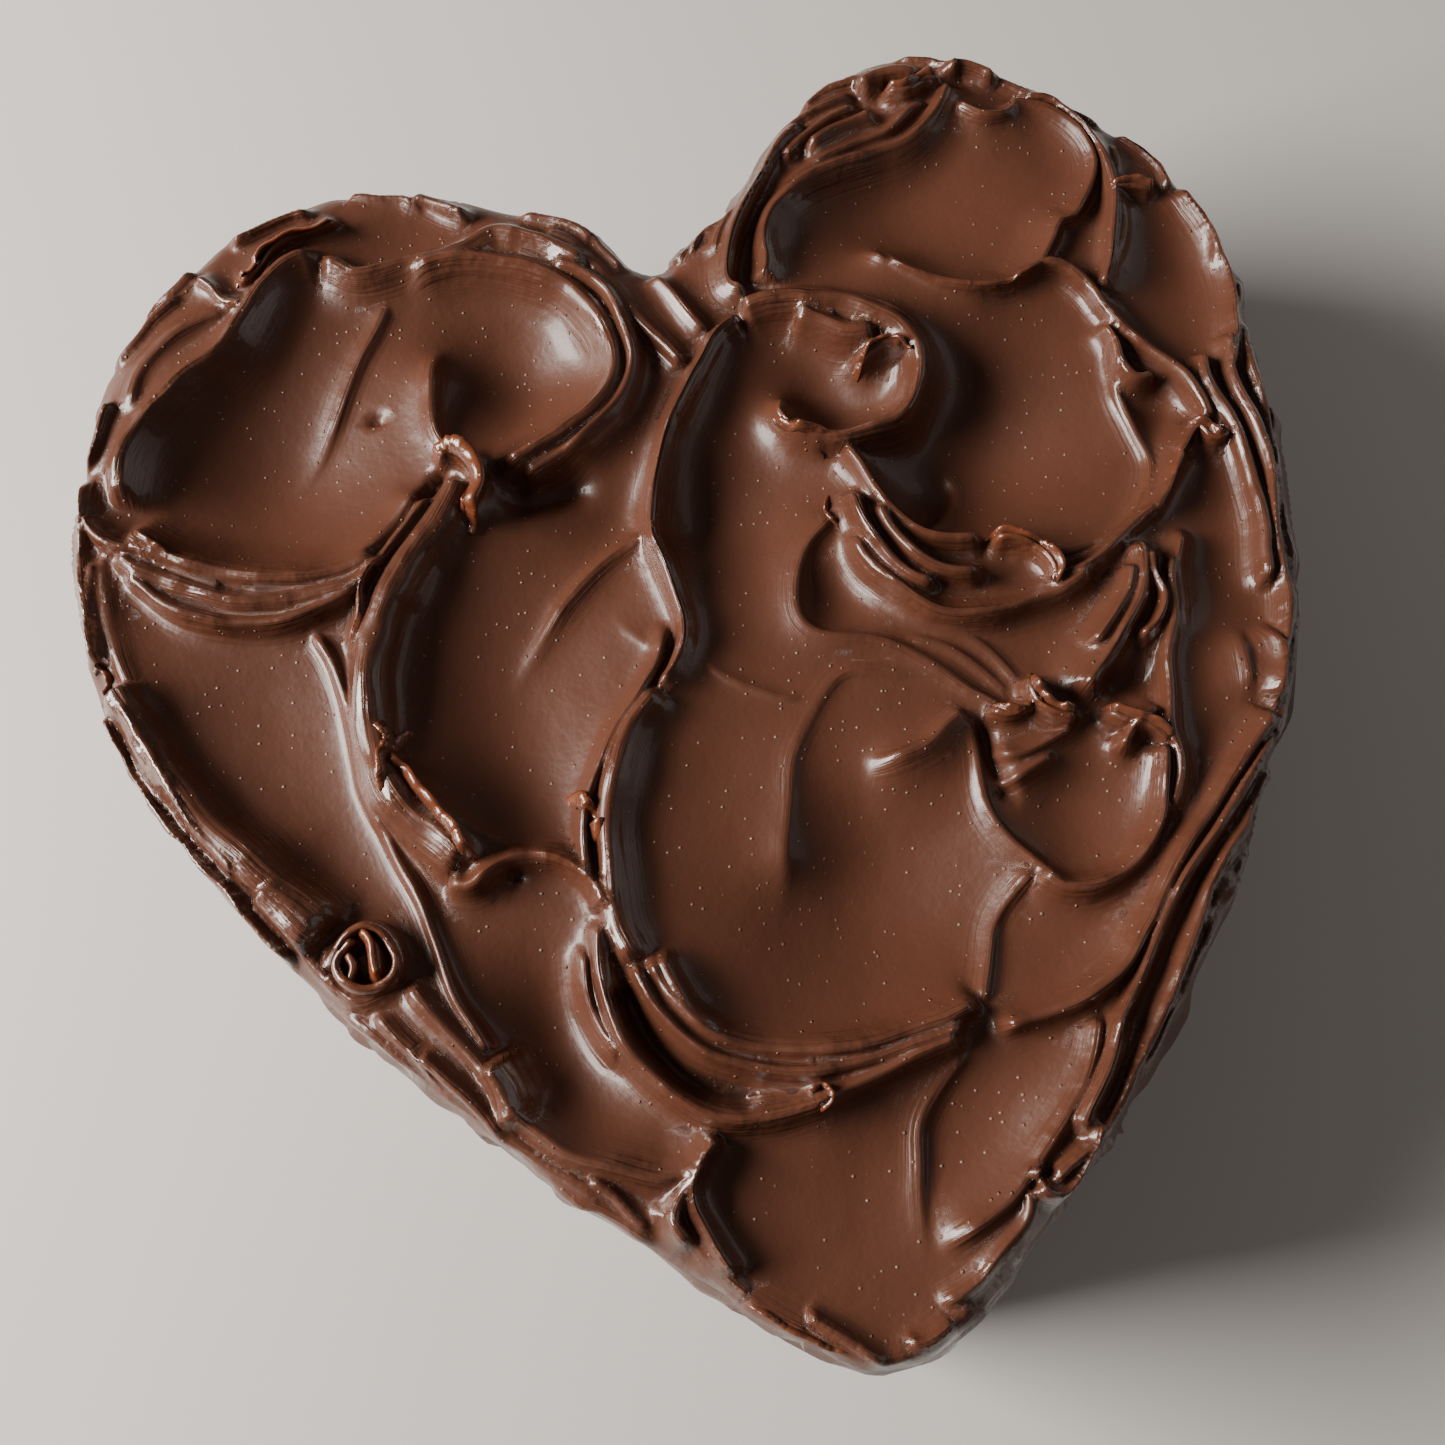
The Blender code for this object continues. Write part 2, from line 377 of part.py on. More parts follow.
def raise_ridges(field, ridges):
    """How far the ridges stand up, the samples under their crests, and the height of the icing there."""
    total, pins, pinned_height = (np.zeros(field.shape) for _ in range(3))
    for number, ridge in enumerate(ridges):
        path = smooth_path(ridge.points, CURVE_STEP)
        reach = min(26, max(6, ridge.width + 3.5 * max(ridge.left, ridge.right)))
        distance, side, place, _, length = field.nearest(path, reach)
        strength = ease(place / ridge.ends[0]) * ease((length - place) / ridge.ends[1])
        flank = ridge.right + (ridge.left - ridge.right) * (side + 1) / 2
        fall = np.hypot(np.maximum(distance - ridge.width, 0), CREST_ROUNDING) - CREST_ROUNDING
        margin = ease((reach - distance) / (0.4 * reach))
        uneven = 1 + 0.1 * waver(place, number, 18)
        total += (ridge.lift * strength * uneven * np.exp(-fall / flank) * margin) ** RIDGE_BLEND
        if ridge.crest is None:
            continue
        under = (distance < max(0.75 * field.cell, 0.5)) & (strength > 0.5)
        pins += under
        pinned_height += under * (ridge.crest - ridge.lift + 0.5 * waver(place, 100 + number, 25))
    return total ** (1 / RIDGE_BLEND), pins > 0, pinned_height / np.maximum(pins, 1)


def stretch_skin(field, pinned, height, pull):
    """A skin held at the pinned samples and pulled down between them, worked out from coarse to fine."""
    scales = [scale for scale in (32, 16, 8, 4, 2, 1) if min(field.shape) // scale > 12]
    skin = None
    for scale in scales:
        rows, columns = (-(-side // scale) for side in field.shape)

        def gather(values):
            padded = np.zeros((rows * scale, columns * scale))
            padded[: field.shape[0], : field.shape[1]] = values
            return padded.reshape(rows, scale, columns, scale).sum((1, 3))

        count = gather(pinned)
        held = gather(pinned * height) / np.maximum(count, 1)
        drop = gather(pull) / scale**2 * (field.cell * scale) ** 2
        if skin is None:
            skin = np.zeros((rows, columns))
        else:
            skin = np.kron(skin, np.ones((2, 2)))[:rows, :columns]
        for _ in range(SKIN_ROUNDS):
            skin = np.where(count > 0, held, (neighbours(skin) - drop) / 4)
    return skin


def neighbours(values):
    padded = np.pad(values, 1, mode="edge")
    return padded[:-2, 1:-1] + padded[2:, 1:-1] + padded[1:-1, :-2] + padded[1:-1, 2:]


def soften(values, distance, cell):
    """Blurs the values over about this distance."""
    for _ in range(round(2 * (distance / cell) ** 2)):
        values = neighbours(values) / 4
    return values


class Wall:
    """The unrolled side of the cake: place along the edge by height above the ground."""

    def __init__(self, length):
        self.length = length
        high = (length + WALL_MARGIN, PLANE_HEIGHT + 2 * WALL_MARGIN)
        self.field = Field((-WALL_MARGIN, -WALL_MARGIN), high, WALL_CELL)
        random = np.random.default_rng(WALL_SEED)
        sweeps = []
        for tier in WALL_TIERS:
            for number in range(SWEEPS_PER_TIER):
                start = length * (number + random.uniform(0, 0.8)) / SWEEPS_PER_TIER
                run = random.uniform(*SWEEP_LENGTH)
                climb = random.uniform(-1, 1) * SWEEP_CLIMB
                middle = tier + random.uniform(-3, 3)
                lift = random.uniform(*SWEEP_LIFT)
                left, right = random.permutation(SWEEP_FLANKS)
                for turn in (-length, 0, length):
                    points = []
                    for t in (0, 0.3, 0.6, 1):
                        points.append((start + turn + run * t, middle + climb * (t - 0.5) * (2 - t)))
                    sweeps.append(Ridge(None, lift, left, right, 0, SWEEP_ENDS, points))
        self.sweeps = raise_ridges(self.field, sweeps)[0]

    def stand_out(self, place, height):
        """How far the icing stands out from the heart's edge."""
        turn = 2 * math.pi * place / self.length
        long_wave = 0.6 * np.sin(5 * turn + height / 17)
        short_wave = 0.4 * np.sin(11 * turn - height / 9 + 1)
        spread = 1 + 0.35 * np.sin(17 * turn) * np.sin(6 * turn + 2)
        foot = FOOT_FLARE * ease(1 - height / FOOT_HEIGHT) * spread
        swept = self.field.sample(self.sweeps, place, height)
        return swept + WALL_WAVE * (long_wave + short_wave) + foot - WALL_INSET


class Top:
    """The icing on top of the cake, as heights over its plan."""

    def __init__(self, edge):
        self.field = Field(PLAN_LOW, PLAN_HIGH, FIELD_CELL)
        distance, side, self.place, left, self.edge_length = self.field.nearest(edge, WIDEST_INSET)
        self.inset = -distance * side
        self.outward = left
        groups = (LEFT_LOBE_RIDGES, LEFT_SIDE_RIDGES, MIDDLE_RIDGES, RIGHT_LOBE_RIDGES, RIGHT_SIDE_RIDGES)
        ridges = [ridge for group in groups for ridge in group.values()]
        stand_up, pinned, height = raise_ridges(self.field, ridges)
        at_edge = (self.inset < 1) & ~pinned
        height = np.where(at_edge, 0.6 * waver(self.place, 5, 40) - 0.5, height)
        pull = np.full(self.field.shape, REST_SAG)
        for scoop in SCOOPS:
            off = np.hypot(self.field.grid_x - scoop.x, self.field.grid_y - scoop.y) / scoop.radius
            pull += SCOOP_PULL * scoop.depth / scoop.radius**2 * np.exp(-(off**2))
        skin = stretch_skin(self.field, pinned | at_edge, height, pull)
        self.height = soften(skin, SKIN_SOFTNESS, FIELD_CELL) + stand_up
        for gap in GAPS:
            distance = self.field.nearest(smooth_path(gap.points, CURVE_STEP), 3 * gap.width)[0]
            self.height -= gap.depth * np.exp(-((distance / gap.width) ** 2))

    def points(self, x, y, inset, place, wall):
        """Points on the icing for places on the plan, rounded over the shoulder."""
        up = self.field.sample(self.height, x, y)
        over = np.clip(1 - inset / SHOULDER_RADIUS, 0, 1)
        z = PLANE_HEIGHT + up - SHOULDER_RADIUS * (1 - np.sqrt(1 - over**2))
        push = wall.stand_out(place, z) * over**2
        out_x = self.field.sample(self.outward[0], x, y)
        out_y = self.field.sample(self.outward[1], x, y)
        return np.column_stack([x + out_x * push, y + out_y * push, z])


def even_steps(path, step):
    """A closed path's points moved to even distances along it, and those distances."""
    lengths = np.concatenate([[0], np.cumsum(np.hypot(*np.diff(path, axis=0).T))])
    count = round(lengths[-1] / step)
    places = np.arange(count) * lengths[-1] / count
    points = np.column_stack([np.interp(places, lengths, path[:, axis]) for axis in (0, 1)])
    return points, places


def sideways(loop):
    """The left-hand direction at each point of a closed path, which is outwards on the clockwise edge."""
    ahead = np.roll(loop, -1, axis=0) - np.roll(loop, 1, axis=0)
    return np.column_stack([-ahead[:, 1], ahead[:, 0]]) / np.linalg.norm(ahead, axis=1)[:, None]


def plan_points(top, rim):
    """Places on the plan: the rim, rings that close up towards it, and an even lattice inside them."""
    ring_insets = SHOULDER_RADIUS * (1 - np.sin(np.radians(SHOULDER_RINGS)))
    rows = np.arange(PLAN_LOW[1], PLAN_HIGH[1], LATTICE_STEP * math.sqrt(0.75))
    columns = np.arange(PLAN_LOW[0], PLAN_HIGH[0], LATTICE_STEP)
    x, y = np.meshgrid(columns, rows)
    x[1::2] += LATTICE_STEP / 2
    lattice = np.column_stack([x.ravel(), y.ravel()])
    inset = top.field.sample(top.inset, lattice[:, 0], lattice[:, 1])
    lattice = lattice[inset > SHOULDER_RADIUS * 0.85]
    outward = sideways(rim)
    rings = []
    for ring_inset in ring_insets:
        ring = rim - outward * ring_inset
        depth = top.field.sample(top.inset, ring[:, 0], ring[:, 1])
        rings.append(ring[depth > ring_inset - 0.3])
    return np.vstack([rim] + rings + [lattice])


def build_cake():
    """The whole cake as one closed mesh, with the middle of its box over the origin."""
    edge = smooth_path(OUTLINE, EDGE_STEP)
    top = Top(edge)
    wall = Wall(top.edge_length)
    rim, rim_places = even_steps(edge, OUTLINE_STEP)
    count = len(rim)

    plan = plan_points(top, rim)
    loop = list(range(count))
    _, _, triangles, sources, _, _ = delaunay_2d_cdt([Vector(p) for p in plan], [], [loop], 1, 1e-5)
    order = [source[0] for source in sources]
    plan = plan[order]
    back = {old: new for new, old in enumerate(order)}
    inset = top.field.sample(top.inset, plan[:, 0], plan[:, 1])
    place = top.field.sample(top.place, plan[:, 0], plan[:, 1])
    on_rim = [back[i] for i in loop]
    inset[on_rim] = 0
    place[on_rim] = rim_places
    vertices = [top.points(plan[:, 0], plan[:, 1], inset, place, wall)]
    faces = [tuple(triangle) for triangle in triangles]

    outward = sideways(rim)
    rim_height = vertices[0][on_rim, 2]
    rows = round(PLANE_HEIGHT / WALL_STEP)
    above = on_rim
    first = len(plan)
    for row in range(1, rows + 1):
        height = rim_height * (1 - row / rows)
        push = wall.stand_out(rim_places, height)
        vertices.append(np.column_stack([rim + outward * push[:, None], height]))
        below = list(range(first, first + count))
        faces += [(above[i - 1], above[i], below[i], below[i - 1]) for i in range(count)]
        above = below
        first += count
    foot = vertices[-1]
    _, _, triangles, sources, _, _ = delaunay_2d_cdt([Vector(p[:2]) for p in foot], [], [loop], 1, 1e-5)
    faces += [tuple(above[sources[i][0]] for i in reversed(triangle)) for triangle in triangles]

    vertices = np.vstack(vertices)
    vertices[:, :2] -= (vertices[:, :2].min(0) + vertices[:, :2].max(0)) / 2
    mesh = bpy.data.meshes.new("frosted_cake")
    mesh.from_pydata((vertices * MM).tolist(), [], faces)
    mesh.validate()
    cake = bpy.data.objects.new("frosted_cake", mesh)
    bpy.context.scene.collection.objects.link(cake)
    mesh.shade_smooth()
    triangle_count = sum(len(face) - 2 for face in faces)
    thin_out = cake.modifiers.new("thin out", "DECIMATE")
    thin_out.ratio = TARGET_TRIANGLES / triangle_count
    return cake


def chocolate_icing():
    material = bpy.data.materials.new("chocolate_icing")
    material.use_nodes = True
    shader = material.node_tree.nodes["Principled BSDF"]
    shader.inputs["Base Color"].default_value = ICING_COLOUR
    shader.inputs["Roughness"].default_value = ICING_ROUGHNESS
    shader.inputs["Metallic"].default_value = 0.0
    return material


for old in list(bpy.data.objects):
    bpy.data.objects.remove(old)
build_cake().data.materials.append(chocolate_icing())
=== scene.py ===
from collections import namedtuple
import math

import bpy
import numpy as np
from mathutils import Euler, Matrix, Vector
from mathutils.geometry import delaunay_2d_cdt
from mathutils.kdtree import KDTree


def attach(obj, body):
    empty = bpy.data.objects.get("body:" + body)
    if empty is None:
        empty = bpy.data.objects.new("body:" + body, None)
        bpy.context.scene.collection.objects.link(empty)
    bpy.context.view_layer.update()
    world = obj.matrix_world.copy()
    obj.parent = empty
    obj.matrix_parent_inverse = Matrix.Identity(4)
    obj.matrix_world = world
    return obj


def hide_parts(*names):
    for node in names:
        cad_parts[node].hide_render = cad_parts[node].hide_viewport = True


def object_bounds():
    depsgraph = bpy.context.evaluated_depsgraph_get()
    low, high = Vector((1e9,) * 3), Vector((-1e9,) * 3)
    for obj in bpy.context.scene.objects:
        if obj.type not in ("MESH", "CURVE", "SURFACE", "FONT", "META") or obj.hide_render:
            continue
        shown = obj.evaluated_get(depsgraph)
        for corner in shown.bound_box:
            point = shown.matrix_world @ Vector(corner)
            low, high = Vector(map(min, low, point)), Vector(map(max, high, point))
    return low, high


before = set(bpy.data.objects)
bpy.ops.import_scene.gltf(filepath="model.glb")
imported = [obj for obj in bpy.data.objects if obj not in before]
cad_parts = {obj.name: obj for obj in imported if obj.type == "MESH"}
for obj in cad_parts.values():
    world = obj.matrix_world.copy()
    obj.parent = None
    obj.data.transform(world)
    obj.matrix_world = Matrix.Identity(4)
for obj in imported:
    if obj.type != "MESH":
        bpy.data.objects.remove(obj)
cad_low, cad_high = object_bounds()
MM = 0.001

# The cake's edge.
# The real cake is a heart cut from a sponge about 65 mm deep. Its edge is the line below, coated a few
# millimetres thick. Measures are in millimetres, from the middle of the cake.
PLANE_HEIGHT = 72.0
SHOULDER_RADIUS = 6.0

# Where the heart's edge runs, clockwise from the notch by the right lobe, the tip and the left lobe.
NOTCH = (2, 86.5)
RIGHT_LOBE = [
    (10, 92), (18, 96.5), (23.5, 103.5), (29, 112), (37, 119.5), (47, 125.5), (56.5, 129), (66, 128),
    (75, 123.5), (86, 116.5), (95, 109), (104, 101), (111, 91)]
RIGHT_SIDE = [
    (116, 78), (118.5, 64), (118.5, 50), (117.5, 35), (114.5, 17), (110, -3), (105.5, -18), (99, -32),
    (91, -45), (82, -59), (71, -74), (60, -87), (50, -97)]
TIP = [(40, -105), (30, -112.5), (21, -119), (14.5, -123), (8.5, -124.5), (2.5, -124), (-5, -119.5)]
LEFT_SIDE = [
    (-18, -108.5), (-34, -95), (-52, -78.5), (-66, -64.5), (-78, -51), (-90, -34), (-99.5, -19.5),
    (-108, -4), (-114, 9), (-117.5, 25), (-118, 44)]
LEFT_LOBE = [
    (-116.5, 61.5), (-112, 79), (-102, 94), (-90, 106), (-78, 113.5), (-62, 116.5), (-46, 115), (-30, 109),
    (-17, 104), (-7, 98.5)]
OUTLINE = [NOTCH] + RIGHT_LOBE + RIGHT_SIDE + TIP + LEFT_SIDE + LEFT_LOBE + [NOTCH]


def smooth_path(points, step):
    """A curve through the points, cut into pieces of about one step."""
    points = np.array(points, float)
    if np.allclose(points[0], points[-1]):
        before, after = points[-2], points[1]
    else:
        before, after = 2 * points[0] - points[1], 2 * points[-1] - points[-2]
    padded = np.vstack([before, points, after])
    pieces = []
    for p, q, r, s in zip(padded, padded[1:], padded[2:], padded[3:]):
        t = np.linspace(0, 1, max(2, round(math.dist(q, r) / step)), endpoint=False)[:, None]
        bend = (2 * p - 5 * q + 4 * r - s) * t**2 + (3 * q - p - 3 * r + s) * t**3
        pieces.append(q + 0.5 * ((r - p) * t + bend))
    return np.vstack(pieces + [points[-1:]])


# The folds of the left lobe.
# Two bowls were pressed with the back of a spoon, and the icing that they pushed up stands round them as
# ropes. Below the left bowl three layers of it lie over each other.
# Each fold is given by the points that it runs through and these measures.
# crest: height of its top above the icing's plane, or None where it lies in a bowl.
# lift: how far it stands up from the icing beside it.
# left, right: how far its flank reaches on each side of its run.
# width: half the width of its rounded top.
# ends: the lengths over which it dies away.
# lean: how far its lip hangs over its steep side.
# thin: how thin that lip is, which sets how much light is painted shining through it.
Ridge = namedtuple("Ridge", "crest lift left right width ends points lean thin", defaults=(0.3, 0.0))

LEFT_LOBE_RIDGES = {
    "bowl rim": Ridge(4.6, 4.8, 1.0, 2.2, 1.6, (5, 5), [
        (-107, 50), (-104.5, 59), (-99.5, 67.5), (-91.5, 75), (-84, 79.5), (-79.5, 86), (-74.5, 93),
        (-68, 97.3), (-62, 97)]),
    "bowl rim line": Ridge(5.2, 1.6, 0.7, 0.7, 0.2, (5, 5), [
        (-108.5, 56), (-104, 64.5), (-98.5, 71), (-91, 77.5), (-85, 81), (-81.5, 86), (-78.5, 91.5),
        (-73, 96), (-66, 99.3), (-61, 97)]),
    "top band": Ridge(4.6, 4.6, 0.9, 2.4, 1.4, (5, 6), [
        (-66, 98), (-61, 96.3), (-56, 93.2), (-46, 93.6), (-36, 95.4), (-28, 97.8), (-21, 94.5),
        (-14, 89.5), (-9, 84)]),
    "outer band": Ridge(3.6, 1.6, 2.5, 0.9, 0.3, (5, 6), [
        (-104, 70), (-101.5, 79), (-96, 85.5), (-89, 89), (-80, 90.5)]),
    "star": Ridge(4.8, 2.4, 0.9, 0.9, 0.2, (2, 2), [
        (-89, 99.5), (-85, 95.5), (-83, 92), (-78.5, 89.5)], 0.6, 0.2),
    "torn lip": Ridge(4, 3.9, 2.2, 0.6, 0, (3, 3), [
        (-82, 96), (-78, 98), (-74.5, 102.5), (-69, 105), (-63, 106.5), (-59, 109)], 1.3, 1.0),
    "bowl fold": Ridge(None, 1.1, 0.7, 1.8, 0.3, (6, 20), [
        (-51, 90), (-55, 83), (-60.5, 75), (-66.5, 65), (-71, 57), (-76, 51)]),
    "right bowl rim": Ridge(5, 5.1, 1.1, 2.0, 1.5, (9, 7), [
        (-51, 90), (-42, 92), (-34, 92), (-25.5, 89.5), (-18, 84.5), (-12.5, 77.5), (-9.5, 70),
        (-9.5, 62), (-14, 55.5), (-21, 51), (-30, 47.5), (-37, 45.5)], 0.2, 0.1),
    "right bowl outer rope": Ridge(4.8, 5, 1, 0.9, 1.0, (5, 6), [
        (-20, 90), (-12.5, 85.5), (-7.5, 79), (-5.3, 70), (-6, 61), (-10, 53.5), (-17, 48.5), (-25, 45),
        (-33, 42)], 0.5, 0.1),
    "right bowl edge": Ridge(1.4, 2.2, 0.9, 2.0, 0.3, (12, 4), [
        (-42, 78), (-45, 70), (-46.3, 62), (-45, 54.5), (-41, 50), (-35, 48)], 0.2, 0.15),
    "little fold": Ridge(6, 5.5, 0.8, 0.7, 0.2, (2, 4), [
        (-47, 49.5), (-43, 50.3), (-40, 47.5), (-38.6, 43.5), (-39.7, 39.5), (-43, 35)], 0.9, 1.0),
    "floor rim": Ridge(4.8, 5, 2.6, 0.8, 1.3, (4, 4), [
        (-107, 46), (-97, 38.3), (-85, 32.2), (-73, 30), (-63, 31.3), (-55, 36), (-48.5, 44.5)]),
    "middle layer": Ridge(4.3, 4.2, 0.8, 0.8, 1.2, (4, 6), [
        (-109, 41.5), (-99, 34), (-89, 28.5), (-78, 26.4), (-68, 26.8), (-58.5, 31)]),
    "lower layer": Ridge(3.9, 4.2, 0.8, 0.8, 1.1, (5, 5), [
        (-107, 39), (-99.5, 30.2), (-91, 24.6), (-80, 22.6), (-71, 23.6), (-63.5, 27.5),
        (-56, 33.5)], 1.0),
    "short strand": Ridge(4.8, 4.6, 0.8, 0.7, 0.6, (3, 4), [
        (-59, 31), (-62.5, 26.5), (-63.6, 20), (-66.5, 13)], 0.3, 0.5),
    "glossy tear": Ridge(4.6, 4.3, 1.2, 0.8, 0.6, (2, 3), [
        (-113, 51), (-111.5, 46), (-108, 42.5), (-103, 41), (-99.5, 38)], 0.5, 0.1),
}

# The folds of the left side.
# The thickest roll of icing runs down beside the flat left side, and a curl is rolled up at the edge
# below it.
LEFT_SIDE_RIDGES = {
    "thick roll": Ridge(5.2, 5.5, 1.1, 1.1, 2.3, (3, 4), [
        (-41.5, 45.5), (-46, 37.5), (-53, 29), (-58.5, 21), (-62, 12), (-63.9, 1), (-63.4, -10),
        (-59.8, -19.5), (-53.5, -27.5), (-49.5, -32)]),
    "roll line": Ridge(None, 1.0, 0.7, 0.9, 0, (6, 8), [
        (-56, 21), (-59.5, 11), (-60.7, 1), (-59.8, -8), (-56, -15.5), (-49.5, -23), (-42, -28.5),
        (-35, -31)]),
    "torn seam": Ridge(6.2, 2.2, 0.6, 0.6, 0.1, (2, 3), [
        (-61, -9), (-57, -14.5), (-53, -21), (-50, -27), (-48, -32)], 0.4, 0.9),
    "knot": Ridge(4.4, 4.5, 1.0, 1.0, 0.9, (3, 3), [
        (-54.5, -32), (-50, -34.3), (-46, -32.5), (-42, -31), (-36, -31), (-31.5, -33.5), (-28, -38.5),
        (-26.5, -44)], 0.3, 0.3),
    "long strand": Ridge(None, 2.2, 0.6, 0.5, 0.2, (5, 3), [
        (-74, 20.5), (-69.3, 10), (-67.7, 0), (-66.8, -13), (-63.5, -24), (-59.5, -33), (-57.5, -42),
        (-54.5, -53), (-49.5, -64)], 0.3, 0.1),
    "foot ridge": Ridge(3.6, 3.9, 2.4, 1.0, 0.6, (3, 3), [
        (-49.5, -64), (-47, -73), (-41, -80), (-34, -84.5), (-25, -88), (-19, -86), (-14, -82)]),
    "foot roll": Ridge(5, 4.9, 1.4, 1.4, 1.8, (3, 4), [(-50, -63), (-47.5, -70), (-46.5, -78)]),
    "edge rope": Ridge(3.6, 3.9, 1.6, 1, 0.9, (5, 4), [
        (-113.5, 60), (-115, 48), (-115, 38), (-113.6, 27), (-112.5, 18)]),
    "edge rope inner": Ridge(2.4, 1.6, 2, 0.8, 0.2, (5, 6), [
        (-107.5, 49), (-110.5, 40), (-110.5, 28), (-108, 17), (-103.5, 7)]),
    "edge crest": Ridge(4.8, 5.4, 1.0, 1.0, 2.6, (3, 5), [
        (-110, 15), (-104.8, 3.5), (-98.8, -7.5), (-93, -16.5), (-87.3, -23.3), (-80, -31),
        (-73, -38.5)], 0.4, 0.1),
    "edge strand": Ridge(None, 5.0, 0.6, 0.7, 0.4, (4, 4), [
        (-108.5, 12), (-103.5, 1), (-100.2, -8), (-95.5, -17), (-89, -27)]),
    "edge smear": Ridge(4.8, 5.2, 0.8, 0.8, 0.7, (4, 4), [
        (-113.5, 11), (-108.5, -2), (-103, -12), (-96, -23), (-89, -33), (-82, -43)]),
    "curl tube": Ridge(5.8, 6.2, 0.8, 0.8, 2.5, (2, 3), [(-85.6, -27.5), (-81, -34), (-76, -40)]),
    "curl foot": Ridge(1.6, 2.4, 1.2, 1.2, 1.0, (0.5, 0.5), [
        (-75.5, -44.5), (-72, -49.5), (-66.5, -48.5), (-64.5, -43.5), (-68, -39.5), (-73, -40),
        (-75.5, -44.5)]),
    "curl middle": Ridge(1.4, 2.0, 1.0, 1.0, 1.4, (1, 1), [(-70.8, -42), (-68.2, -46.5)]),
    "curl tail": Ridge(3, 2, 1.0, 1.0, 0.4, (3, 4), [
        (-63, -48), (-57, -58), (-50.5, -67), (-48.5, -76)]),
    "low edge": Ridge(2.4, 2.4, 1.6, 1.0, 0.7, (4, 6), [
        (-77, -51), (-68, -61), (-58, -71), (-48, -81), (-38, -91), (-27, -100)]),
    "low edge line": Ridge(3, 1.8, 1.0, 1.0, 0.3, (4, 6), [
        (-70, -52), (-63, -61), (-54, -71), (-44, -82.5), (-33, -92)]),
}

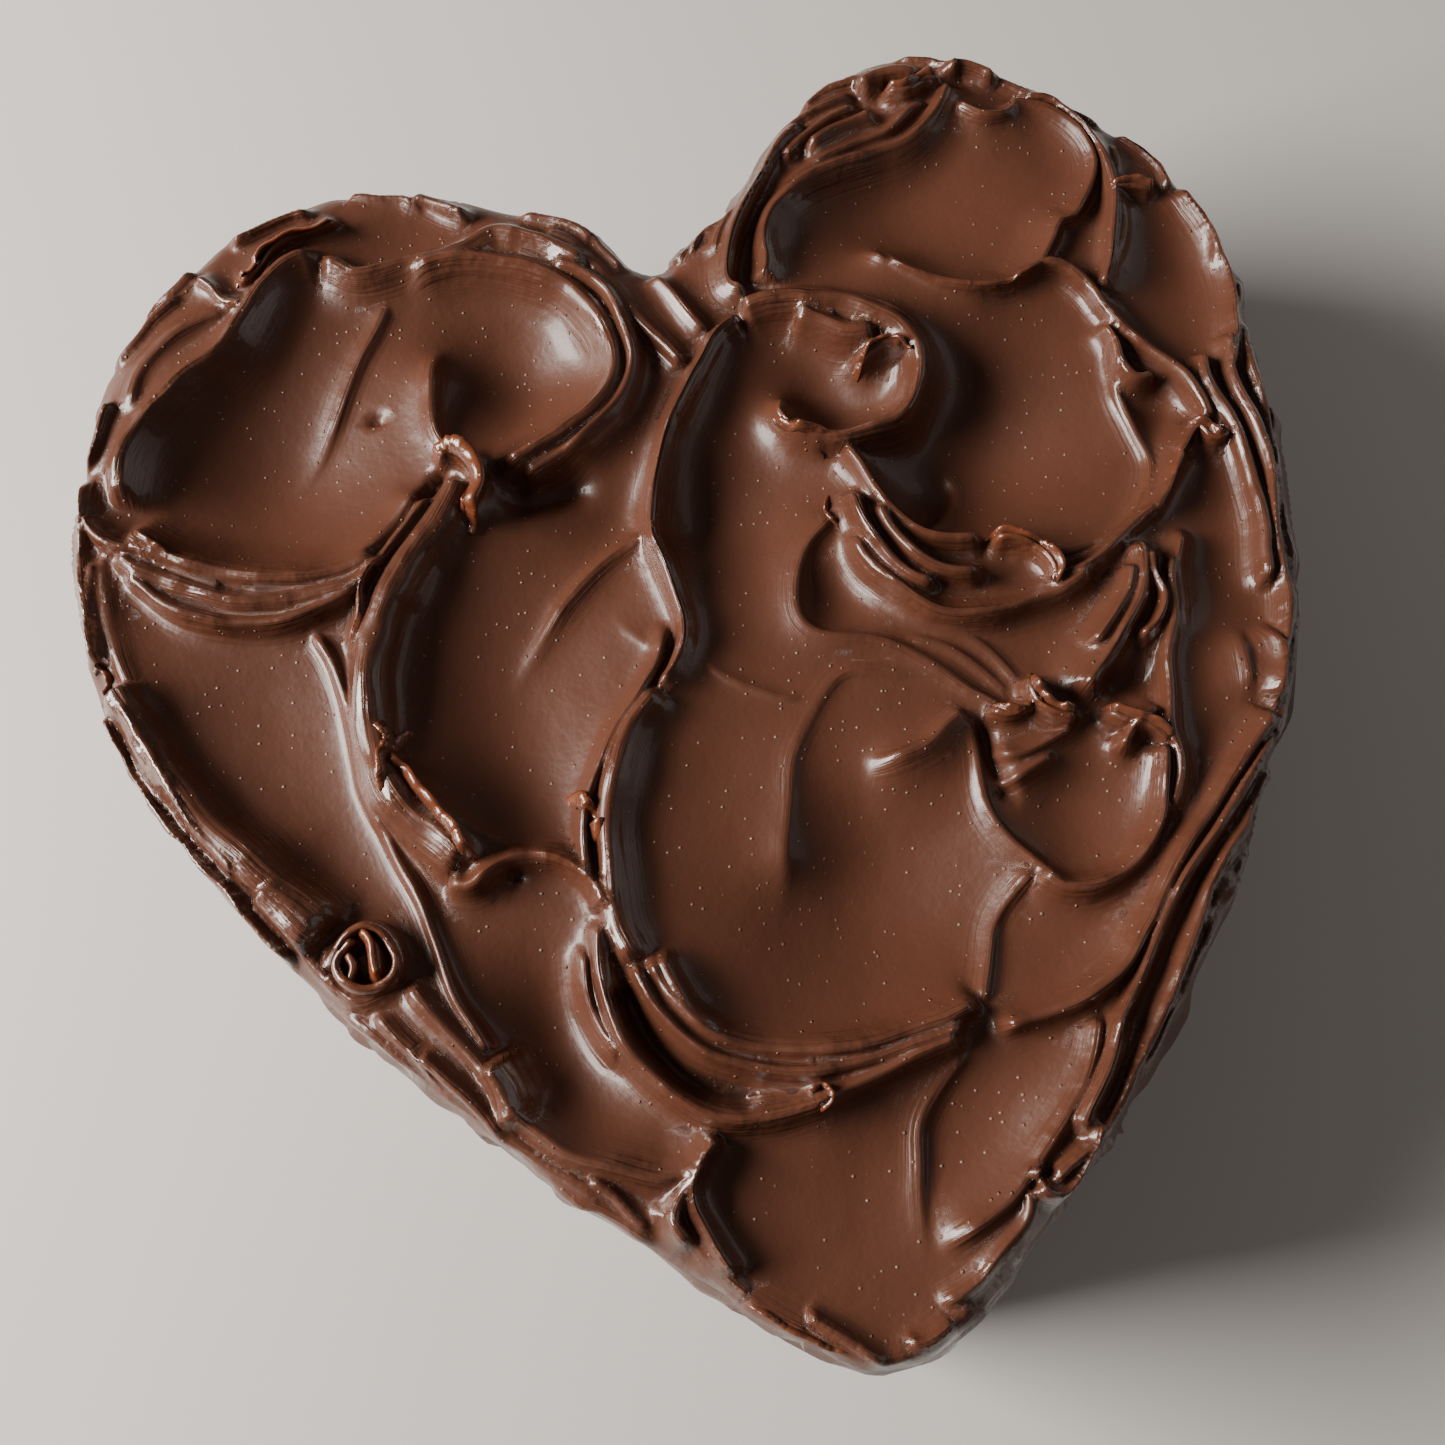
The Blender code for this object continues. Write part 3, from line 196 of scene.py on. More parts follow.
# The folds of the middle.
# The spine is one long rope of icing from the hook to the big bowl, whose lower rim is three ropes side
# by side.
MIDDLE_RIDGES = {
    "spine": Ridge(3.8, 4.8, 1.8, 0.9, 0.8, (3, 5), [
        (18.6, 69.5), (12.5, 66), (7.5, 60), (1, 50.5), (-4, 40), (-7.2, 29), (-5.6, 20), (-4.6, 8),
        (-7.5, -0.5), (-13, -6)], 0.5, 0.15),
    "spine rope": Ridge(4.4, 4.8, 2.0, 0.9, 1.7, (5, 5), [
        (-10, -2.5), (-15.5, -8.5), (-20.5, -15.5), (-23.7, -24), (-25.3, -34), (-25, -45),
        (-22.5, -55)], 0.3, 0.1),
    "spine edge": Ridge(3.0, 4.3, 0.7, 0.8, 0.3, (6, 6), [
        (-8, 10), (-11, 2), (-15, -4), (-21, -10.5), (-26.3, -19), (-29, -28), (-28.6, -40)]),
    "branch": Ridge(None, 1.9, 1.8, 0.8, 0.2, (2, 22), [
        (-7, 28.7), (-13, 26.8), (-20, 22.5), (-27, 16.5), (-33, 9.5), (-40, 1.5)]),
    "second branch": Ridge(None, 0.4, 0.9, 1.4, 0, (4, 8), [(-9, 2), (-12.5, 6.5), (-16, 11), (-18, 15)]),
    "first bowl rim": Ridge(4.6, 4.8, 2, 0.8, 0.9, (5, 4), [
        (-22, -50), (-18, -60), (-11, -67.3), (0, -71.5), (12, -72.6), (24, -71.6), (34, -69.5)]),
    "second bowl rim": Ridge(4.5, 4.5, 0.8, 0.8, 0.7, (4, 4), [
        (-24.5, -51), (-20.5, -61.5), (-13, -70), (-2, -74.7), (10, -75.6), (21, -74.4), (31, -71.7)]),
    "second bowl strand": Ridge(4.6, 4.3, 0.7, 0.7, 0.4, (4, 6), [
        (-19.5, -50), (-17, -57), (-14, -63), (-8, -68)]),
    "third bowl rim": Ridge(4.2, 4.5, 0.9, 0.9, 1.1, (4, 4), [
        (-28, -43), (-29.7, -54), (-27.6, -64), (-22.5, -72.5), (-15.5, -79.7), (-7, -81.3), (2, -80.6),
        (12, -78.7), (21, -76.2), (30, -73.6)], 0.4, 0.1),
    "bowl side strand": Ridge(None, 2.8, 0.7, 0.8, 0.5, (5, 6), [
        (-33, -46), (-33.5, -55), (-31.5, -63), (-27, -71)]),
    "rim knot": Ridge(5.0, 2.4, 0.7, 0.7, 0.4, (1, 1), [
        (1, -79.5), (3.5, -79), (4.2, -81), (2, -82)], 0.3, 0.4),
    "bowl fold": Ridge(-0.6, 0.8, 1.2, 3.5, 0.1, (4, 24), [
        (52, -20), (44, -14.5), (35, -9.5), (24, -6), (17, -10.5), (11, -19.5), (7.5, -30), (5, -41),
        (1.5, -51)]),
    "crescent": Ridge(0.6, 1.6, 0.9, 3, 0.1, (5, 4), [
        (28, 26), (21.5, 20.5), (17.5, 13), (16.3, 5.5), (19.5, 1.3), (26, -0.5), (32, -3), (39, -8.5),
        (46, -15), (52, -21)]),
    "fine line": Ridge(None, 0.7, 0.7, 0.7, 0, (3, 6), [
        (-4, 3), (0, -2), (5, -6), (11, -9), (17, -10)]),
    "streak one": Ridge(None, 0.9, 0.8, 1.2, 0, (6, 4), [(33, -1), (41, -5), (47.5, -11), (51.5, -18)]),
    "streak two": Ridge(None, 0.9, 0.8, 1.2, 0, (6, 4), [(38, 0), (46, -4), (51, -10), (54, -16)]),
    "spike": Ridge(5, 4.9, 0.8, 0.8, 0.3, (2, 2), [
        (55.5, -13.5), (55, -19), (57, -22), (62, -24)], 0.4, 0.3),
    "spike arm": Ridge(4.4, 4.3, 0.7, 0.8, 0.3, (2, 3), [
        (55, -19), (50, -20.5), (45.5, -18)], 0.4, 0.3),
    "crease": Ridge(2.6, 1.8, 0.7, 0.9, 0, (3, 4), [(62, -24), (55, -26.5), (49, -28), (44, -26)]),
    "lower crease": Ridge(2.4, 1.6, 0.7, 0.9, 0, (3, 4), [
        (57, -28.5), (52, -31), (47, -32.5), (43.5, -31)]),
    "tongue crest": Ridge(3.0, 2.8, 0.9, 4.6, 0.2, (8, 3), [
        (22, -24), (28, -25.3), (34, -24), (38.5, -20.5), (43.3, -17.8)], 0.4),
    "big bowl east": Ridge(0.2, 1.4, 0.6, 0.8, 0.2, (3, 3), [
        (43.3, -17.8), (42.2, -27), (42.4, -36), (44.5, -42.5), (48, -48), (52.5, -52.5)], 0.5, 0.15),
    "round cell rim": Ridge(3.8, 4.1, 1.2, 1.0, 0.6, (3, 4), [
        (48, -48.5), (52, -52.5), (58, -53.6), (65, -50.8), (70.8, -45), (74.3, -37), (76, -29)], 0.3),
    "diagonal roll": Ridge(5, 5, 2.4, 1.0, 1.1, (5, 3), [
        (62, -20.5), (67, -15.5), (73, -10), (78, -4), (80.5, 3), (80.5, 9)]),
    "diagonal strand": Ridge(4.6, 4.4, 0.8, 0.8, 0.3, (4, 3), [
        (66, -12), (72, -6.5), (76.5, -1), (78.5, 5)]),
    "cross strand": Ridge(5, 4.8, 0.8, 0.8, 0.6, (3, 3), [
        (83.5, 7), (82.5, 1), (83, -4), (80, -9), (75, -12)], 0.3, 0.2),
    "knot arm": Ridge(4.6, 4.6, 0.8, 0.8, 0.7, (3, 3), [
        (66, -22), (70, -25.5), (74.5, -28), (77, -33)], 0.3, 0.2),
    "other knot arm": Ridge(4.4, 4.4, 0.8, 0.8, 0.6, (3, 3), [
        (78, -24.5), (73, -26), (69, -30), (67, -32.5)], 0.3, 0.3),
    "east wall": Ridge(3.6, 3.8, 2, 0.8, 0.2, (5, 6), [
        (88.5, 6), (85.5, 0), (84, -8), (80.5, -17), (78, -27), (77, -36), (72, -46)]),
    "east wall line": Ridge(3.4, 2.4, 1.2, 0.8, 0, (4, 5), [(91, 10), (88, 3), (86, -6), (83.5, -14)]),
    "lump edge": Ridge(3.9, 4.7, 1.6, 1.0, 0.8, (6, 5), [
        (29, 22), (31, 14), (35.5, 7.5), (42, 1.6), (50, -0.6), (58, -0.4), (66, 1.5), (73, 6)]),
    "glossy strand": Ridge(5.4, 5, 0.8, 0.8, 0.6, (4, 4), [
        (31, 30), (31.5, 22.5), (34.5, 15), (38.5, 9), (44, 5)]),
    "second glossy strand": Ridge(5.4, 4.9, 0.8, 0.8, 0.4, (4, 4), [
        (34.5, 26), (36.5, 18.5), (40.5, 12), (46, 8), (53, 6.5)]),
    "lump curl": Ridge(5.4, 4.9, 0.8, 0.8, 0.3, (2, 2), [
        (54, 13.6), (59, 12.6), (63, 9.3), (64.6, 5), (62.8, 1.8)], 0.5, 0.5),
}

# The folds of the right lobe.
# A round tongue of icing lies at the top, two ropes come down beside it to the notch, and a hook curls
# below.
RIGHT_LOBE_RIDGES = {
    "notch rope": Ridge(4.4, 4.7, 1.0, 1.8, 0.8, (5, 3), [
        (40, 113), (33, 109), (27.5, 102.5), (22.5, 94.5), (18.3, 87), (16, 80.5), (16.5, 76),
        (20.5, 74.2)]),
    "notch outer line": Ridge(3.0, 2.4, 0.8, 1.2, 0.2, (5, 5), [
        (52, 119), (42, 116), (33.5, 112), (27, 106), (21, 97.5), (15.5, 88.5), (13, 82)]),
    "crown": Ridge(4.4, 4.6, 1.0, 2.0, 1.1, (3, 4), [
        (22.5, 75), (24.3, 80), (25, 86), (28.5, 92.2), (35, 97), (43, 100), (51, 101.5), (57.5, 103),
        (63.5, 107), (67.5, 112), (70.5, 117.5)], 0.2, 0.05),
    "crown line": Ridge(4.6, 2.4, 0.7, 0.7, 0.2, (4, 4), [
        (30, 96), (38, 101.5), (47, 104.5), (55, 107), (61, 111), (66, 113)]),
    "crown step": Ridge(3.8, 3.9, 0.8, 1.6, 0.4, (4, 4), [
        (36, 105), (43, 108), (50, 111), (55, 112.5)], 0.3, 0.1),
    "crown inner edge": Ridge(3.6, 3.7, 1.5, 0.8, 0.3, (4, 4), [
        (31, 103), (37, 108.5), (44, 112), (52, 114)]),
    "top lump": Ridge(5, 5.1, 1.2, 1.2, 1.4, (3, 3), [
        (50, 118), (55, 121), (61, 121), (66, 118)], 0.3, 0.1),
    "top lump fold": Ridge(5, 4.9, 0.8, 0.8, 0.5, (3, 3), [
        (55, 117), (60, 115.5), (65, 117.5), (69, 116)], 0.4, 0.2),
    "corner flap": Ridge(4.6, 4.6, 2.5, 0.8, 0.6, (3, 3), [
        (70.5, 117), (72, 121), (77, 118.5), (81, 114.5)], 0.5, 0.1),
    "round tongue": Ridge(3.2, 3.5, 2.2, 0.8, 0.2, (8, 4), [
        (47, 81.5), (50.5, 76.5), (56.5, 72), (63, 69), (70, 67.4), (76, 70), (80.5, 74.5), (84, 79.3),
        (87.5, 80.5), (92, 86), (94.2, 92), (93, 99), (89.5, 104.5), (84, 107.8),
        (78, 108.5)], 0.9, 0.15),
    "tongue line": Ridge(3.4, 1.6, 1.2, 1.0, 0, (5, 5), [
        (44, 82), (48.5, 76.5), (55, 71), (62, 67.5), (69, 66)]),
    "tongue knots": Ridge(4.8, 2.2, 0.8, 0.8, 0.3, (2, 2), [
        (70, 111), (74, 106.5), (78, 105.5), (83, 106.5)], 0.3, 0.2),
    "crown east": Ridge(4, 4.2, 1.8, 1.0, 0.6, (4, 3), [
        (82, 110.5), (89, 108), (94, 102), (96.8, 94), (97, 86), (95.5, 78), (92.5, 69), (88.5, 61.5)]),
    "crown east line": Ridge(3.4, 2.2, 0.8, 0.8, 0.1, (4, 4), [
        (99.5, 97), (100, 90), (98.5, 82), (96.5, 74), (92, 65)]),
    "pointed lip": Ridge(3.2, 3.5, 2.4, 0.8, 0.2, (2, 2), [
        (95.5, 84), (100, 84), (105.5, 82.5)], 0.7, 0.1),
    "north-east ridge": Ridge(3.8, 4.5, 0.9, 0.9, 0.5, (3, 3), [
        (70, 66.5), (77, 69.5), (82.5, 68.7), (86.3, 64), (88.5, 58), (91, 52), (95, 46.5), (99, 41),
        (101, 35), (101.8, 28.5)], 0.4, 0.15),
    "north-east strand": Ridge(4.6, 4.3, 0.8, 0.8, 0.3, (3, 3), [
        (87, 56), (88.5, 50), (88, 45), (90, 41), (95, 42)], 0.4, 0.2),
    "edge crest": Ridge(3.2, 3.5, 1.4, 1.8, 0.6, (5, 3), [
        (110, 85), (113.5, 73), (114, 60), (112, 49), (108, 40)]),
    "centre hook": Ridge(4.6, 5.6, 0.9, 1.4, 1.5, (2, 5), [
        (17, 70), (25, 70.5), (33.5, 69), (41, 65.8), (46.5, 61), (48.8, 54.5), (47.8, 47.5),
        (43, 42.3), (36, 40.6), (28.5, 41), (20.5, 45.5)], 0.3, 0.1),
    "hook top": Ridge(5.4, 5.3, 1.0, 1.0, 1.8, (3, 4), [
        (27, 69), (33, 65), (38, 61.5), (44.5, 60.5)], 0.3, 0.1),
    "hook line": Ridge(4.2, 2.4, 0.8, 0.8, 0, (3, 4), [
        (16, 73), (24, 73.5), (32, 72.5), (41, 69), (48.5, 63.5), (51.5, 56), (50.5, 47)]),
    "hook tongue": Ridge(5.2, 4.9, 0.8, 0.8, 0.5, (2, 3), [
        (37, 54.5), (40.5, 57), (45, 57.5), (48.5, 54.5)], 0.4, 0.3),
    "hook inner lip": Ridge(4.2, 2.2, 0.7, 0.8, 0.1, (3, 3), [
        (23, 52), (20.5, 48), (23, 43.5), (27, 41.5)], 0.3, 0.3),
    "bowl lip": Ridge(3.8, 4.5, 1.0, 1.1, 0.3, (3, 3), [
        (31, 39.5), (33.3, 34), (35.3, 27.5), (38.5, 21.5), (43, 16.8), (48.5, 14.8),
        (54, 13.8)], 0.3, 0.25),
    "bowl side step": Ridge(None, 1.2, 2, 0.7, 0, (5, 5), [
        (52, 36), (53, 30), (51, 24.5), (46.5, 20), (41, 18)]),
    "bowl foot": Ridge(0.2, 1.7, 0.7, 0.8, 0.2, (4, 3), [
        (56, 11), (64, 9.7), (72, 9.6), (79, 11), (85, 16.5), (88.5, 24), (88, 32), (87, 40),
        (87.5, 47), (89.5, 54), (87, 62)], 0.3, 0.1),
    "bowl foot edge": Ridge(4, 4.1, 0.9, 1.0, 0.3, (4, 3), [
        (64, 3.5), (72, 5.5), (79, 9), (85.5, 13.5), (91, 20), (95.3, 26)]),
    "ragged lip": Ridge(3.8, 3.8, 2, 0.7, 0.2, (3, 3), [
        (85, 11), (89, 17), (92, 22), (95.3, 26.5), (99, 29.3), (101.5, 26.5), (104.5, 29)], 0.8, 0.3),
    "notch sheet": Ridge(3.4, 2.4, 2, 0.9, 0.3, (3, 3), [
        (-19.4, 97), (-14, 93.5), (-10, 88.5), (-6.5, 82), (-3, 74.5), (1, 67), (5.5, 60.5)], 0.5),
    "notch line": Ridge(3.2, 2.2, 0.9, 1.2, 0.2, (4, 3), [(0.5, 84), (5, 77), (8.4, 70), (10.5, 65.5)]),
    "notch fold": Ridge(3.2, 3.5, 1.2, 1.2, 0.6, (3, 3), [(5, 86), (8.5, 91), (13, 95), (17, 99)]),
    "notch fold inner": Ridge(3.6, 2.2, 0.8, 0.8, 0.2, (3, 3), [
        (9, 86), (12, 91), (17, 94.5), (21, 99)]),
}

# The folds of the right side and the tip.
# Along the right side the knife left long strands that run with the edge, and wet folds hang over the tip.
RIGHT_SIDE_RIDGES = {
    "edge crest": Ridge(3.6, 4.2, 0.9, 1.0, 0.5, (3, 5), [
        (104, 46), (103, 38), (105, 29), (105.8, 20), (105, 10), (103, 1), (102, -7)], 0.4, 0.1),
    "edge strand": Ridge(3.8, 4, 0.9, 1.0, 0.4, (4, 4), [
        (110, 50), (108.3, 40), (109.5, 28), (108.7, 15), (106.5, 2), (104.5, -9), (101, -19),
        (96, -28)]),
    "outer strand": Ridge(2.4, 3, 0.9, 1.0, 0.4, (4, 4), [
        (114.5, 52), (113, 40), (112.6, 27), (111, 12), (108.7, -2), (105.6, -14), (101, -25),
        (94.5, -36)]),
    "flake": Ridge(4.0, 4.2, 2.0, 0.8, 0.3, (6, 6), [
        (95.5, -28), (98.6, -23), (100, -16.5), (99.4, -10.5)], 0.7, 0.2),
    "flake root": Ridge(2.6, 1.4, 0.8, 2, 0, (6, 6), [(95, -11), (94, -19), (93.5, -27)]),
    "long diagonal": Ridge(3.8, 4.1, 0.9, 1.6, 0.5, (3, 4), [
        (97, -28), (90.5, -34.5), (83, -41.5), (76, -48), (69.5, -55), (63.5, -62), (58, -68),
        (51, -71.7), (43, -73.6), (34, -75)], 0.3, 0.1),
    "diagonal strand": Ridge(3.8, 4, 0.8, 0.8, 0.4, (4, 5), [
        (97, -32), (90, -39), (82, -46.5), (75, -53), (68.5, -60), (63, -67.5), (57.5, -75),
        (52, -82)]),
    "outer diagonal": Ridge(3, 3.4, 0.9, 1.0, 0.4, (4, 5), [
        (95, -37), (88, -45.5), (80, -54), (73, -62.5), (67, -71), (60, -80), (52, -90), (45, -97)]),
    "edge diagonal": Ridge(1.6, 2.4, 1.0, 1.0, 0.5, (4, 5), [
        (88, -50), (80, -59.5), (73, -68.5), (65, -78.5), (57, -88)]),
    "cell split": Ridge(None, 1.5, 1.0, 0.8, 0.2, (3, 3), [
        (33.5, -70.5), (36.3, -63), (39.5, -56.5), (44, -51.3), (48.5, -48)]),
    "cell line": Ridge(None, 1.0, 0.8, 1.6, 0, (4, 4), [(56, -55.5), (63, -54), (69, -50), (73, -44)]),
    "tip split": Ridge(None, 1.3, 0.8, 3, 0.1, (4, 14), [
        (30, -76.5), (24.5, -81.5), (19, -87.5), (16.8, -95), (15.5, -104), (14.8, -110)]),
    "tip west": Ridge(3.2, 4.4, 0.7, 1.2, 0.9, (3, 4), [
        (-14, -82), (-18.6, -87), (-20.6, -93), (-18.8, -100), (-15, -107)], 0.3, 0.1),
    "tip west strand": Ridge(3.8, 3.8, 0.8, 1.0, 0.4, (3, 4), [
        (-17, -86), (-22, -91), (-24.5, -96), (-22, -102)]),
    "tip band": Ridge(3.0, 2.4, 0.9, 2.2, 0.3, (4, 8), [
        (53, -74), (49.5, -81), (45.5, -87), (39.5, -93.5), (33, -99), (26, -103.5), (17, -108)]),
    "tip roll": Ridge(4.6, 4.6, 1.0, 1.0, 0.8, (3, 3), [(57, -75), (53, -82), (48, -88.5), (43, -94)]),
    "tip curl": Ridge(4.2, 4.3, 0.9, 0.9, 0.9, (2, 3), [
        (35.5, -96), (36.5, -101.5), (41, -102), (45, -97.5), (49, -91)]),
    "tip smear": Ridge(2.6, 2.4, 1.0, 1.0, 0.5, (3, 4), [
        (35, -99), (33, -105), (28, -109.5), (23, -114)]),
    "tip rim": Ridge(1.0, 2.2, 1.6, 1.0, 0.5, (4, 4), [
        (-17, -107.5), (-9, -114.5), (-3, -118), (3, -121), (10, -122), (17, -119.5), (23, -115.5)]),
}

# Where the icing was torn or left open: depth and half-width of the gap, and the points of its run.
Gap = namedtuple("Gap", "depth width points")
GAPS = [
    Gap(3.4, 1.3, [(-60, 33), (-54, 38.5), (-49, 44), (-46, 47)]),
    Gap(3.4, 1.4, [(-26.5, -58), (-23, -67), (-17.5, -74), (-9, -78)]),
    Gap(4.5, 4.0, [(-31, 41), (-26, 41.5), (-22, 42)]),
    Gap(2.6, 1.6, [(45, -23), (45.5, -28), (46.5, -34)]),
    Gap(2.4, 2.2, [(70, -18), (75, -18)]),
    Gap(2.0, 0.9, [(28, 38.5), (31, 37.5)]),
    Gap(2.4, 1.0, [(58, 118.5), (62, 118), (66, 120)]),
    Gap(2.0, 0.9, [(35, -100), (37.5, -98.5)]),
    Gap(2.8, 0.9, [(-58.2, 63.8), (-56.8, 63.8)]),
    Gap(2.2, 1.0, [(-42.6, -33.6), (-41.6, -33.6)]),
]

# Where the spoon pressed a bowl: middle, radius and depth.
Scoop = namedtuple("Scoop", "x y radius depth")
SCOOPS = [
    Scoop(-80, 53, 17, 3.6), Scoop(-30, 68, 13, 4.0), Scoop(-44, 3, 18, 2.2), Scoop(-46, -14, 10, 1.2),
    Scoop(23, 45, 12, 4.0), Scoop(4, 30, 7, 1.2), Scoop(16, -45, 16, 2.8), Scoop(26, -52, 16, 1.0),
    Scoop(50, 40, 13, 3.5), Scoop(62, 36, 18, 1.2), Scoop(45, 27, 9, 2.0), Scoop(56, 88, 16, 2.0),
    Scoop(46, 92, 10, 1.5), Scoop(-37, -61, 10, 4.0), Scoop(0, -98, 14, 0.5), Scoop(26, -90, 11, 1.5),
    Scoop(90, 2, 11, 2.5), Scoop(56, -38, 11, 3.0), Scoop(56, -10, 10, 1.0), Scoop(32, 50, 9, 3.0),
    Scoop(52, -64, 10, 1.5), Scoop(104, 66, 7, 1.0), Scoop(24, 10, 7, 2.0), Scoop(-9, 34, 9, 3.0),
    Scoop(-90, 85, 8, 1.5), Scoop(-45, 102, 10, 1.0), Scoop(94, 36, 6, 2.0), Scoop(-72, -24, 9, 1.2),
    Scoop(-84, 8, 14, 1.0), Scoop(53, 53, 7, 1.5), Scoop(-37, -24, 8, 1.0),
]


def ease(t):
    """Runs from 0 to 1 with a soft start and end."""
    t = np.clip(t, 0, 1)
    return t * t * (3 - 2 * t)


def waver(place, seed, wave):
    """An uneven wave along a length, between about -1 and 1."""
    random = np.random.default_rng(seed)
    total = np.zeros_like(place)
    for octave in range(4):
        length = wave * (1 + 0.9 * octave) * random.uniform(0.7, 1.3)
        total += np.sin(2 * math.pi * (place / length + random.random())) / (2 + octave)
    return total


def beside(path, x, y, reach=None):
    """Each point's distance to the path, side of it (1 left, -1 right) and place along it.

    Then come the path's left-hand direction there, as two numbers a point, and the path's length."""
    distance = np.full(len(x), 1e9)
    side, place, left_x, left_y = (np.zeros(len(x)) for _ in range(4))
    everywhere = np.arange(len(x))
    start = 0.0
    for a, b in zip(path[:-1], path[1:]):
        length = math.dist(a, b)
        near = everywhere
        if reach:
            low, high = np.minimum(a, b) - reach, np.maximum(a, b) + reach
            near = np.flatnonzero((x > low[0]) & (x < high[0]) & (y > low[1]) & (y < high[1]))
        along_x, along_y = (b - a) / length
        off_x, off_y = x[near] - a[0], y[near] - a[1]
        along = np.clip(off_x * along_x + off_y * along_y, 0, length)
        aside = off_y * along_x - off_x * along_y
        here = np.hypot(off_x - along * along_x, off_y - along * along_y)
        closer = here < distance[near]
        chosen = near[closer]
        distance[chosen] = here[closer]
        side[chosen] = (aside / np.maximum(here, 1e-6))[closer]
        place[chosen] = (start + along)[closer]
        left_x[chosen] = -along_y
        left_y[chosen] = along_x
        start += length
    return distance, side, place, left_x, left_y, start


def even_steps(path, step):
    """Points at even steps along the path, and their places on it. Its last point is left out."""
    lengths = np.concatenate([[0], np.cumsum(np.hypot(*np.diff(path, axis=0).T))])
    count = max(2, round(lengths[-1] / step))
    places = np.arange(count) * lengths[-1] / count
    points = np.column_stack([np.interp(places, lengths, path[:, axis]) for axis in (0, 1)])
    return points, places


def sideways(path, closed=False):
    """The left-hand direction at each point of a path."""
    ahead = np.roll(path, -1, axis=0) - np.roll(path, 1, axis=0) if closed else np.gradient(path, axis=0)
    ahead /= np.linalg.norm(ahead, axis=1)[:, None]
    return np.column_stack([-ahead[:, 1], ahead[:, 0]])


def crest_line(ridge, seed):
    """The line that a fold's crest really takes: through its points, and wandering between them."""
    path = smooth_path(ridge.points, 1.0)
    place = np.arange(len(path), dtype=float)
    wander = 0.4 * waver(place, seed, 22)
    return path + sideways(path) * wander[:, None]


# A rope of icing is made of fine strands, as the knife draws it out. Its crest is rounded by a small radius,
# and where folds meet, a high power blends them so that the higher one shows.
STRAND_WIDTH = 1.8
STRAND_DEPTH = 0.5
CREST_ROUNDING = 0.55
BLEND = 4
FLANKS_IN_REACH = 3.5
SHORTEST_REACH = 9
LONGEST_REACH = 26


def fold_the_icing(x, y):
    """How far the folds stand up and lean over, how thin and wet they are, and the knife's stroke."""
    total, lean_x, lean_y, thin, wet = (np.zeros(len(x)) for _ in range(5))
    nearest, second, across, along = (np.zeros(len(x)) for _ in range(4))
    for number, (ridge, path) in enumerate(zip(ridges, crests)):
        reach = ridge.width + FLANKS_IN_REACH * max(ridge.left, ridge.right)
        reach = min(LONGEST_REACH, max(SHORTEST_REACH, reach))
        low, high = path.min(0) - reach, path.max(0) + reach
        near = np.flatnonzero((x > low[0]) & (x < high[0]) & (y > low[1]) & (y < high[1]))
        distance, side, place, left_x, left_y, length = beside(path, x[near], y[near])
        strength = ease(place / ridge.ends[0]) * ease((length - place) / ridge.ends[1])
        flank = ridge.right + (ridge.left - ridge.right) * (side + 1) / 2
        flank *= 1 + 0.12 * waver(place, 300 + number, 26)
        width = ridge.width * (1 + 0.15 * waver(place, 400 + number, 20))
        fall = np.hypot(np.maximum(distance - width, 0), CREST_ROUNDING) - CREST_ROUNDING
        crown = 1 - 0.22 * np.minimum(distance / np.maximum(width, 0.1), 1) ** 2 * (ridge.width > 0.5)
        margin = ease((reach - distance) / (0.4 * reach))
        nicks = 0.03 * waver(place, 500 + number, 8) * np.exp(-((distance / 2) ** 2))
        uneven = 1 + 0.1 * waver(place, number, 24) + nicks
        shape = ridge.lift * strength * uneven * crown * np.exp(-fall / flank) * margin
        if ridge.width > 0.7:
            strand = (distance * side + 0.2 * waver(place, 700 + number, 40)) / STRAND_WIDTH
            parting = 1 - np.abs(np.cos(math.pi * strand))
            depth = STRAND_DEPTH * np.clip(0.6 + 0.8 * waver(place, 800 + number, 26), 0, 1)
            shape -= depth * parting * np.exp(-((distance / (width + 1.2)) ** 4)) * strength
        total[near] += np.maximum(shape, 0) ** BLEND
        steep = 1 if ridge.left < ridge.right else -1
        over = np.where(side * steep > 0, 0.8 + width, 2.4 + width)
        lean = ridge.lean * strength * (1 + 0.35 * waver(place, 900 + number, 14))
        lean *= np.exp(-((distance / over) ** 2))
        lean_x[near] += steep * left_x * lean
        lean_y[near] += steep * left_y * lean
        edge = ridge.thin * strength * np.clip(0.6 + 0.7 * waver(place, 1100 + number, 13), 0, 1.3)
        thin[near] = np.maximum(thin[near], edge * np.exp(-((distance / 0.8) ** 2)))
        on_rope = strength * np.exp(-((distance / (width + 1.8)) ** 2))
        on_rope *= np.clip(0.7 + waver(place, 1300 + number, 18), 0, 1)
        wet[near] = np.maximum(wet[near], on_rope * min(1, ridge.lift / 3))
        pull = strength * np.exp(-((distance / (width + 3)) ** 2)) * min(1, ridge.lift / 3)
        stronger = pull > nearest[near]
        second[near] = np.where(stronger, nearest[near], np.maximum(second[near], pull))
        nearest[near] = np.where(stronger, pull, nearest[near])
        across[near] = np.where(stronger, distance * side + 40 * number, across[near])
        along[near] = np.where(stronger, place, along[near])
    height = total ** (1 / BLEND)
    for gap in GAPS:
        distance = beside(smooth_path(gap.points, 1.0), x, y, reach=3 * gap.width)[0]
        height -= gap.depth * np.exp(-((distance / gap.width) ** 2))
    stroke = np.column_stack([across, along, ease(3 * (nearest - second))])
    return height, lean_x, lean_y, thin, wet, stroke


# Short strands that the knife left along the rim of the cake, where it turned from the top to the wall.
EDGE_STEP = 2.5
RIM_STRANDS = 38
RIM_STRAND_LENGTH = (10, 26)
RIM_STRAND_INSET = (1.2, 6.0)
RIM_SEED = 23


